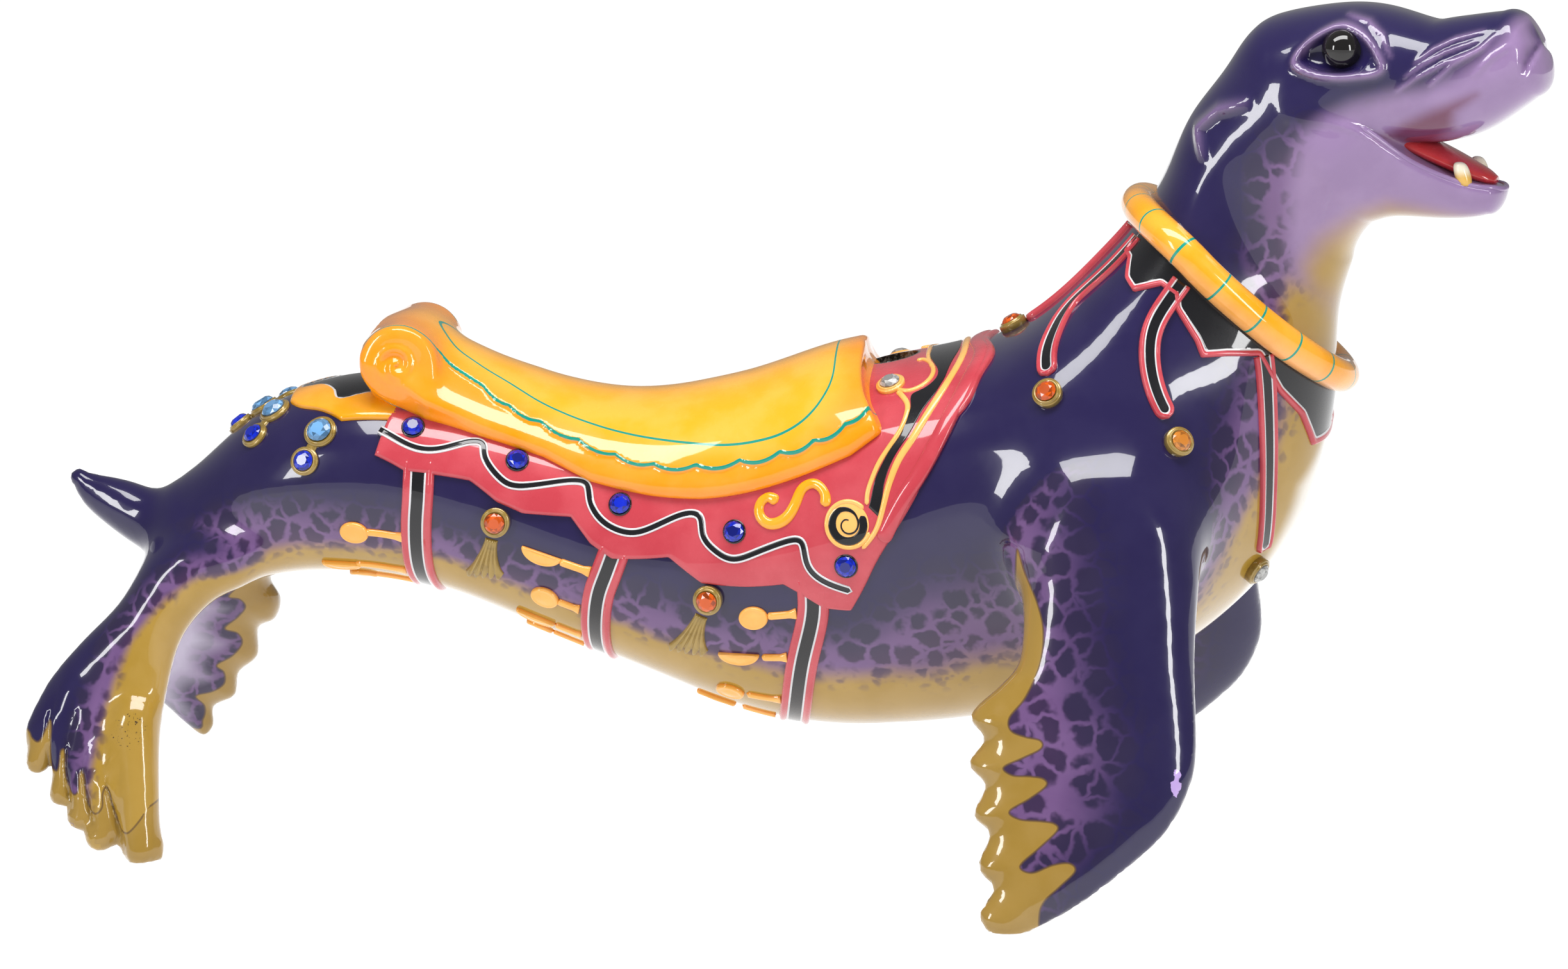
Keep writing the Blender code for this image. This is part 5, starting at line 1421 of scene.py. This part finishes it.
def rise_above_skin(shape):
    """A shape with the height of its points above the skin as its field."""
    points, faces = shape[:2]
    return points, faces, figure(points)


RIM_PROFILE = [(1, -ROOT), (1, 1.5 * MM), (0.97, 3.4 * MM), (0.91, 4.6 * MM), (0.84, 4.8 * MM),
               (0.76, 4.3 * MM), (0.66, 4.1 * MM), (0.4, 4.9 * MM), (0.06, 5.2 * MM)]
spoon_enamel = enamel("Spoon enamel", spoon_tint, mottle=0.08)
for name, rows in SPOONS.items():
    shapes = []
    for count, (place, angle, strap_place) in enumerate(rows):
        half_round_one = count % 2 == (0 if name == "Middle" else 1)
        outline = half_bowl() if half_round_one else ellipse(*SPOON_HALF)
        for side in (1, -1):
            centre, root = skin_at([(place, side * angle), (strap_place, side * angle)])
            shapes.append(boss(centre, root - centre, outline[::side] * (1, side), RIM_PROFILE))
            start = place + (20 if half_round_one else 13)
            route = skin_at([(run, side * (angle - 0.5)) for run in np.linspace(start, strap_place, 14)])
            width = np.interp(np.linspace(0, 1, 14), (0, 0.75, 1), (8.5, 8.5, 13)) * MM
            shapes.append(strip(route, width, half_round(4 * MM, 3.5 * MM), 0.0, 11, (True, False))[:2])
    points, faces, rise = gather([rise_above_skin(shape) for shape in shapes])
    piece(f"{name}_spoons", points, faces, spoon_enamel, rise=rise)

# Tassels
# Fluted skirts moulded in one with the flank, painted antique gold. They hang from the two stones
# between the straps.
TASSELS = {"Rear": ((356, 89), (360, 119)), "Front": ((595, 97), (574, 122))}
TASSEL_FLUTES = 2.5
OLD_GOLD, GOLD_SHADE = (0.36, 0.24, 0.06, 1), (0.12, 0.07, 0.015, 1)


def old_gold_tint(shade):
    """Antique gold, darkened by a wash in cloudy patches."""
    dirt = shade.noise(0.012, 5.0).rise(0.5, 0.75)
    return shade.colour(0.45 * dirt, OLD_GOLD, GOLD_SHADE)


old_gold = enamel("Old gold paint", old_gold_tint, roughness=0.27, metallic=0.3)
for name, (top, foot) in TASSELS.items():
    shapes = []
    for side in (1, -1):
        start, end = skin_at([(top[0], side * top[1]), (foot[0], side * foot[1])])
        down, part = np.meshgrid(edged(0.3, 1, 26), edged(-1, 1, 61), indexing="ij")
        out = unit(outward(start[None]))[0]
        ahead = end - start
        aside = unit(np.cross(out, ahead))
        wave = np.abs(np.cos(TASSEL_FLUTES * np.pi * part))
        reach = down * (1 + 0.13 * (wave - 0.5) * down**3 - 0.1 * part * side * down**2)
        half = (7 + 14 * np.clip((down - 0.3) / 0.7, 0, 1) ** 1.6) * MM
        flat = start + reach[..., None] * ahead + (half * part)[..., None] * aside
        base = onto_skin(flat.reshape(-1, 3), limit=12 * MM)
        out = unit(outward(base)).reshape(flat.shape)
        base = base.reshape(flat.shape)
        flute = 2.0 * MM * wave * np.clip(2 * down - 0.4, 0, 1)
        height = (2.8 * MM + flute) * rounded(rim_depth(base), 3 * MM)
        shapes.append(raised(base, out, height))
    piece(f"{name}_tassels", *gather(shapes), old_gold)

# Fringe under the collar
# Black panels moulded in one with the neck, with scalloped lower edges, a silver line and a coral
# red bead.
FRINGE_BEAD, FRINGE_LINE, FRINGE_THICKNESS = 5 * MM, 1.5 * MM, 2.4 * MM
COLLAR_ROUTE = np.array([
    (0, 1247), (65, 1247), (93, 1236), (121, 1221), (142, 1211), (164, 1204), (180, 1202),
])
BIB_EDGE = np.array([
    (1204, 50), (1202, 58), (1184, 66), (1179, 74), (1201, 83), (1200, 90), (1189, 93), (1172, 107),
    (1162, 112), (1176, 121), (1190, 132), (1171, 143), (1162, 154), (1143, 163), (1161, 180),
])
share, angle = np.meshgrid(edged(0, 1, 24), edged(50, 310, 300), indexing="ij")
folded = np.minimum(angle, 360 - angle)
hem = np.interp(folded, BIB_EDGE[:, 1], BIB_EDGE[:, 0])
top = np.interp(folded, *COLLAR_ROUTE.T)
places = np.stack([top + share * (hem - top), angle], -1)
base, out = over_skin(places)
edge_line = np.vstack([BIB_EDGE, [(1300, 200), (1300, 40)]]) * (1, DEGREE)
inset = depth_inside(np.stack([places[..., 0], folded * DEGREE], -1).reshape(-1, 2), edge_line)
inset = inset.reshape(share.shape) * MM
height = beaded(FRINGE_BEAD, FRINGE_THICKNESS)(np.maximum(inset, 0))
fringe_enamel = enamel("Fringe enamel", silver_lined_tint(FRINGE_BEAD, FRINGE_LINE, CORAL))
piece("Collar_fringe", *raised(base, out, height), fringe_enamel, inset=twice(inset))

# Ribbons
# Seven raised straps moulded in one with the neck. They hang from the collar, each with a rounded
# end at its stone.
RIBBON_WIDTH, RIBBON_BEAD, RIBBON_LINE = 23 * MM, 5.2 * MM, 1.4 * MM
RIBBON_TOP = 4 * MM       # how far its end stands above the skin, where the stone's ring sits
RIBBONS = [
    [(1225, 50), (1177, 47), (1129, 43), (1096, 52), (1070, 62), (1054, 70)],
    [(1215, 90), (1180, 89), (1152, 91), (1127, 97), (1109, 104), (1099, 110)],
    [(1193, 134), (1169, 139), (1126, 146), (1082, 153), (1045, 161)],
]
NAPE_RIBBON = [(1225, 0), (1180, 0), (1130, 0), (1090, 0), (1064, 0)]
routes = [skin_at(smooth_line(places, 10), side) for places in RIBBONS for side in (1, -1)]
routes.append(skin_at(smooth_line(NAPE_RIBBON, 10)))
height = beaded(RIBBON_BEAD, STRAP_THICKNESS)
ribbons = [strip(route, RIBBON_WIDTH, height, 0.0, 19, (False, True)) for route in routes]
points, faces, inset = gather(ribbons)
ribbon_enamel = enamel("Ribbon enamel", silver_lined_tint(RIBBON_BEAD, RIBBON_LINE, CORAL))
piece("Collar_ribbons", points, faces, ribbon_enamel, inset=inset)

# Collar
# A thick round ring moulded in one with the neck. It is sprayed yellow, with thin green rings
# painted round it, and painted shade makes it peach beneath.
COLLAR_TUBE, COLLAR_LIFT = 36 * MM, 8 * MM
GREEN_SPACING, GREEN_HALF_WIDTH = 52 * MM, 1.5 * MM
# Peach of the painted shade on the ring's underside.
PEACH_PAINTED_SHADE = (0.95, 0.45, 0.15, 1)
angle = np.linspace(0, 360, 240, endpoint=False)
place = curve(np.minimum(angle, 360 - angle), COLLAR_ROUTE)
middle = skin_at(np.stack([place, angle], 1))
out = unit(outward(middle))
middle = middle + COLLAR_LIFT * out
way = unit(np.roll(middle, -1, 0) - np.roll(middle, 1, 0))
across = np.cross(out, way)
turn = full_turn(28)
ring = np.cos(turn)[:, None] * out[:, None] + np.sin(turn)[:, None] * across[:, None]
points = (middle[:, None] + COLLAR_TUBE / 2 * ring).reshape(-1, 3)
here = np.arange(len(angle))[:, None] * len(turn) + np.arange(len(turn))
after = np.roll(here, -1, 0)
faces = np.stack([here, after, np.roll(after, -1, 1), np.roll(here, -1, 1)], -1).reshape(-1, 4)
run = np.linalg.norm(np.diff(middle, axis=0, append=middle[:1]), axis=1).cumsum()


def collar_tint(shade):
    """Yellow, and peach beneath as painted shade, with a green line at even steps along the ring."""
    ring = shade.maths("PINGPONG", shade.attribute("run"), GREEN_SPACING / 2)
    # Painted shade: the ring turns peach where its surface faces down.
    under = 1 - shade.attribute("up").rise(-0.9, 0.2)
    colour = shade.colour(under, YELLOW, PEACH_PAINTED_SHADE)
    return shade.colour(1 - (ring / GREEN_HALF_WIDTH).rise(0.7, 1.0), colour, GREEN)


up = np.cos(turn)[None] * out[:, 2:] + np.sin(turn)[None] * across[:, 2:]
run = np.repeat(run, len(turn))
piece("Collar_ring", points, faces, enamel("Collar enamel", collar_tint), run=run, up=up)

# Mouth
# The lower jaw's edge is a raised lip, and the tongue lies inside it between two blunt peg teeth.
# They are moulded in one with the head and enamelled lilac, red and ivory, the teeth yellower at the
# root.
LIP = pattern([
    (646, 77, 801), (672, 60, 781), (702, 47, 763), (738, 36, 747), (762, 27, 741), (776, 14, 738),
    (780, 0, 738),
])
TONGUE = pattern([
    (640, 790, 22, 5), (662, 786, 34, 9), (690, 776, 35, 11), (718, 765, 31, 11), (742, 755, 25, 10),
    (760, 748, 17, 8), (770, 745, 8, 4),
])
LIP_WIDTH, LIP_HEIGHT = 7 * MM, 2.6 * MM
TOOTH, TOOTH_WIDTH, TOOTH_HEIGHT = pattern((746, 30, 741)), 17 * MM, 24 * MM
TOOTH_PROFILE = [         # shares of its width and of its height
    (0.8, 0), (0.92, 0.15), (1, 0.35), (1, 0.5), (0.97, 0.65), (0.9, 0.78), (0.78, 0.88), (0.6, 0.95),
    (0.35, 0.99), (0.1, 1),
]
TOOTH_TIP, TOOTH_ROOT = (0.9, 0.84, 0.66, 1), (0.7, 0.42, 0.09, 1)
TONGUE_RED = (0.58, 0.05, 0.055, 1)


def from_head(points):
    """Points of the head's own frame, turned to where the head looks."""
    c, s = np.cos(HEAD_TURN), np.sin(HEAD_TURN)
    x, y = points[..., 0] - HEAD_AXIS_X, points[..., 1]
    return np.stack([HEAD_AXIS_X + c * x + s * y, -s * x + c * y, points[..., 2]], -1)


route = smooth_line(mirrored(LIP, (1, -1, 1)), 8)
route = onto_skin(from_head(route), limit=12 * MM, rounds=3)
lip = strip(route, LIP_WIDTH, half_round(LIP_HEIGHT, LIP_WIDTH / 2))
piece("Lower_lip", *lip[:2], enamel("Lip enamel", LILAC, mottle=0.05))
x, z, wide, high_by = along(spline_through(TONGUE), np.linspace(0, len(TONGUE) - 1, 50))[0].T[..., None]
turn = full_turn(28)
rings = from_head(np.stack([x + 0 * turn, wide * np.cos(turn), z + high_by * np.sin(turn)], -1))
piece("Tongue", *loft(rings), enamel("Tongue enamel", TONGUE_RED))


def tooth_tint(shade):
    """Darker yellow at the root and ivory at the tip."""
    return shade.colour(shade.attribute("rise").rise(0.3, 0.75), TOOTH_ROOT, TOOTH_TIP)


tooth_enamel = enamel("Tooth enamel", tooth_tint)
share, rise = np.array(TOOTH_PROFILE).T[..., None]
shapes = []
for side in (1, -1):
    x = TOOTH[0] - 0.3 * rise * TOOTH_HEIGHT + share * TOOTH_WIDTH / 2 * np.cos(turn)
    y = -side * TOOTH[1] + share * TOOTH_WIDTH / 2 * np.sin(turn)
    tooth = loft(from_head(np.stack([x, y, TOOTH[2] + rise * TOOTH_HEIGHT + 0 * turn], -1)))
    shapes.append((*tooth, np.repeat(rise, len(turn))))
points, faces, rise = gather(shapes)
piece("Teeth", points, faces, tooth_enamel, rise=rise)

# Eyes
# Glossy black glass balls, each glued in its socket. The lids round them are carved on the head and
# belong to the casting.
EYE_DIAMETER, EYE_BLACK = 42 * MM, (0.006, 0.005, 0.005, 1)
turn, tilt = full_turn(64), np.linspace(-0.495, 0.495, 40)[:, None] * np.pi
wide = np.cos(tilt)
sphere = np.stack([wide * np.cos(turn), wide * np.sin(turn), np.sin(tilt) + 0 * turn], -1)
eye_glass = enamel("Eye glass", EYE_BLACK, roughness=0.04, lumps=0.0)
for side, name in ((1, "Eye_right"), (-1, "Eye_left")):
    points, faces = loft(EYE_DIAMETER / 2 * sphere + from_head(EYE_CENTRE * (1, -side, 1)))
    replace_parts(piece(name + "_glass", points, faces, eye_glass, "eye_glass"), name)

# Stones and their settings
# Cut glass stones, each glued in a raised ring that is moulded with what it stands on: old gold,
# but thin and black on the blanket's hem and cream at the pommel.
JEWEL_LARGE, JEWEL_SMALL = 27 * MM, 22 * MM
BEZEL_RIM, BEZEL_HEIGHT, FIT = 4.6 * MM, 5 * MM, 0.3 * MM
THIN_RIM, THIN_HEIGHT = 1.6 * MM, 1.5 * MM
RING_STEPS = [            # from foot to stone: shares of the ring's width, and of its height
    (1, -0.5), (0.95, -0.3), (0.6, -0.28), (0.5, -0.2), (0.45, 0.05), (0.3, 0.12), (0.1, 0.08),
    (-0.1, -0.12),
]
FACET_RINGS = [           # corners, radius and height as shares of the size, and the turn of a step
    (16, 0.5, 0, 0), (16, 0.5, 0.04, 0), (8, 0.4, 0.15, 0.5), (8, 0.27, 0.22, 0),
]
LINK_WIDTH = 12 * MM
BLANKET_JEWELS = [(250, 54), (356, 58), (482, 64), (627, 71), (746, 90)]
RUMP_JEWELS = [((168, 55), (151, 70)), ((125, 25), (105, 40)), ((109, 0), (83, 0))]
PENDANTS = [(1040, 75), (1086, 115), (1031, 163)]
NAPE_PENDANT, POMMEL_JEWEL = (1048, 0), (862, 31)
STONES = {
    "blue": (0.01, 0.03, 0.6, 1), "light_blue": (0.2, 0.45, 0.8, 1), "orange": (0.8, 0.12, 0.01, 1),
    "amber": (0.7, 0.25, 0.04, 1), "clear": (0.6, 0.6, 0.58, 1),
}


def jewel_places():
    """Each stone: its node's name, colour, size, place and the height of what it stands on."""
    for number, place in enumerate(BLANKET_JEWELS, 1):
        yield f"Blanket_jewel_{number}", "blue", JEWEL_SMALL, place, BLANKET_THICKNESS
    yield "Pommel_jewel", "clear", JEWEL_SMALL, POMMEL_JEWEL, BLANKET_THICKNESS
    for number, (place, _) in enumerate(TASSELS.values(), 1):
        yield f"Tassel_jewel_{number}", "orange", JEWEL_SMALL, place, TRIM_THICKNESS
    for number, (large, small) in enumerate(RUMP_JEWELS, 1):
        yield f"Rump_jewel_{number}_light", "light_blue", JEWEL_LARGE, large, 0.0
        yield f"Rump_jewel_{number}_dark", "blue", JEWEL_SMALL, small, 0.0
    for number, (place, colour) in enumerate(zip(PENDANTS, ("orange", "amber", "clear")), 1):
        yield f"Collar_jewel_{number}", colour, JEWEL_SMALL, place, RIBBON_TOP
    yield "Collar_jewel_nape", "orange", JEWEL_SMALL, NAPE_PENDANT, RIBBON_TOP


def facets(name, points, material):
    """The convex body of a stone's corners, its faces flat, each with a glint of its own."""
    shape = bmesh.new()
    corners = [shape.verts.new(point) for point in points]
    bmesh.ops.convex_hull(shape, input=corners)
    bmesh.ops.dissolve_limit(shape, angle_limit=np.radians(1), verts=shape.verts, edges=shape.edges)
    bmesh.ops.recalc_face_normals(shape, faces=shape.faces)
    mesh = bpy.data.meshes.new(name)
    shape.to_mesh(mesh)
    shape.free()
    glint = mesh.attributes.new("glint", "FLOAT", "FACE")
    draws = np.random.default_rng(len(name)).random(len(mesh.polygons))
    glint.data.foreach_set("value", draws.astype(np.float32))
    return painted(name, mesh, material)


def stone_tint(colour):
    """A stone's colour, darker on the facets that send less light back."""
    dark = (*(0.25 * channel for channel in colour[:3]), 1)
    return lambda shade: shade.colour(shade.attribute("glint"), dark, colour)


def setting(centre, rim, rim_width, rim_height, top):
    """The ring that holds a stone: a rounded rim round a flat seat that stands top above the skin."""
    steps = [(1 - (1 - share) * rim_width / rim, top + rise * rim_height) for share, rise in RING_STEPS]
    profile = [(1, -ROOT), *steps, (0.2, steps[-1][1])]
    return boss(centre, AHEAD, ellipse(rim, rim, 36), profile)


def cut_stone(centre, size, lift):
    """Corners of a cut stone that stands lift above the skin: rings that narrow to its flat top."""
    out = unit(outward(centre[None]))[0]
    ahead = unit(AHEAD - out * out[0])
    axes = np.stack([ahead, np.cross(out, ahead), out])
    corners = []
    for count, radius, height, start in FACET_RINGS:
        turn = full_turn(count, start)
        corners.append(np.stack([radius * np.cos(turn), radius * np.sin(turn), 0 * turn + height], 1))
    return centre + out * lift + size * np.vstack(corners) @ axes


stone_glass = {
    name: enamel(f"Stone {name}", stone_tint(colour), 0.05, lumps=0.0) for name, colour in STONES.items()
}
settings = {"Blanket": ([], black_enamel), "Pommel": ([], cream_enamel), "Gold": ([], old_gold)}
for name, colour, size, place, under in jewel_places():
    kind = next((kind for kind in settings if name.startswith(kind)), "Gold")
    rim_width, rim_height = (THIN_RIM, THIN_HEIGHT) if kind == "Blanket" else (BEZEL_RIM, BEZEL_HEIGHT)
    rim, top = size / 2 + rim_width, under + rim_height
    for side, ending in ((1, "_right"), (-1, "_left")) if place[1] else ((1, ""),):
        centre = skin_at([(place[0], side * place[1])])[0]
        settings[kind][0].append(setting(centre, rim, rim_width, rim_height, top))
        corners = cut_stone(centre, size, top + FIT)
        stone = facets(f"{name}{ending}_stone", corners, stone_glass[colour])
        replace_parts(stone, name + ending)
for large, small in RUMP_JEWELS:
    for side in (1, -1) if large[1] else (1,):
        link = skin_at(np.linspace(large, small, 16)[5:12], side)
        link = strip(link, LINK_WIDTH, half_round(0.6 * BEZEL_HEIGHT, 5 * MM), round_ends=(False, False))
        settings["Gold"][0].append(link[:2])
for kind, (shapes, material) in settings.items():
    piece(f"{kind}_settings", *gather(shapes), material)

# Floor, backdrop, lights and camera
# A plain white sweep lit by three big soft boxes, as in a high-key studio, and a camera that looks
# from the photograph's angle.
FLOOR_FINISH = {
    "Base Color": (0.35, 0.35, 0.35, 1), "Roughness": 0.9, "Specular IOR Level": 0.0,
    "Emission Color": (1, 1, 1, 1), "Emission Strength": 0.95,
}
mesh = mesh_of("Floor", [(-30, -30, 0), (30, -30, 0), (30, 30, 0), (-30, 30, 0)], [(0, 1, 2, 3)])
lit = bpy.data.materials.new("Lit sweep")
lit.use_nodes = True
for socket, value in FLOOR_FINISH.items():
    lit.node_tree.nodes["Principled BSDF"].inputs[socket].default_value = value
mesh.materials.append(lit)
linked("Floor", mesh)

world = bpy.data.worlds.new("Studio")
world.use_nodes = True
world.node_tree.nodes["Background"].inputs["Color"].default_value = (1, 1, 1, 1)
world.node_tree.nodes["Background"].inputs["Strength"].default_value = 0.25
bpy.context.scene.world = world
bpy.context.scene.view_settings.view_transform = "Standard"


def soft_box(name, place, aim, size, power):
    """An oblong area light that faces a point."""
    light = bpy.data.lights.new(name, "AREA")
    light.shape = "RECTANGLE"
    light.size, light.size_y = size
    light.energy = power
    lamp = linked(name, light)
    way = np.array(aim, float) - place
    flat = np.hypot(way[0], way[1])
    lamp.location = place
    lamp.rotation_euler = (np.pi / 2 + np.arctan2(way[2], flat), 0, np.arctan2(-way[0], way[1]))


soft_box("Top box", (0.1, -0.7, 2.7), (0, 0, 0.4), (2.6, 0.8), 68)
soft_box("Left box", (-2.4, -2.4, 1.5), (0, 0, 0.4), (0.5, 1.4), 32)
soft_box("Right box", (2.6, -2.2, 1.4), (0.2, 0, 0.5), (0.4, 1.5), 30)

AZIMUTH, ELEVATION, DISTANCE = np.radians(5.0), np.radians(11.0), 4.5
PHOTO_WIDTH, FOCAL_PIXELS, SENSOR = 2447, 6429, 36.0
AIM = np.array((0, 0, 0.391))
reach = np.cos(ELEVATION)
look = np.array((-np.sin(AZIMUTH) * reach, np.cos(AZIMUTH) * reach, -np.sin(ELEVATION)))
camera = linked("Camera", bpy.data.cameras.new("Camera"))
camera.data.lens = FOCAL_PIXELS / PHOTO_WIDTH * SENSOR
camera.location = AIM - DISTANCE * look
camera.rotation_euler = (np.pi / 2 - ELEVATION, 0, AZIMUTH)
bpy.context.scene.camera = camera
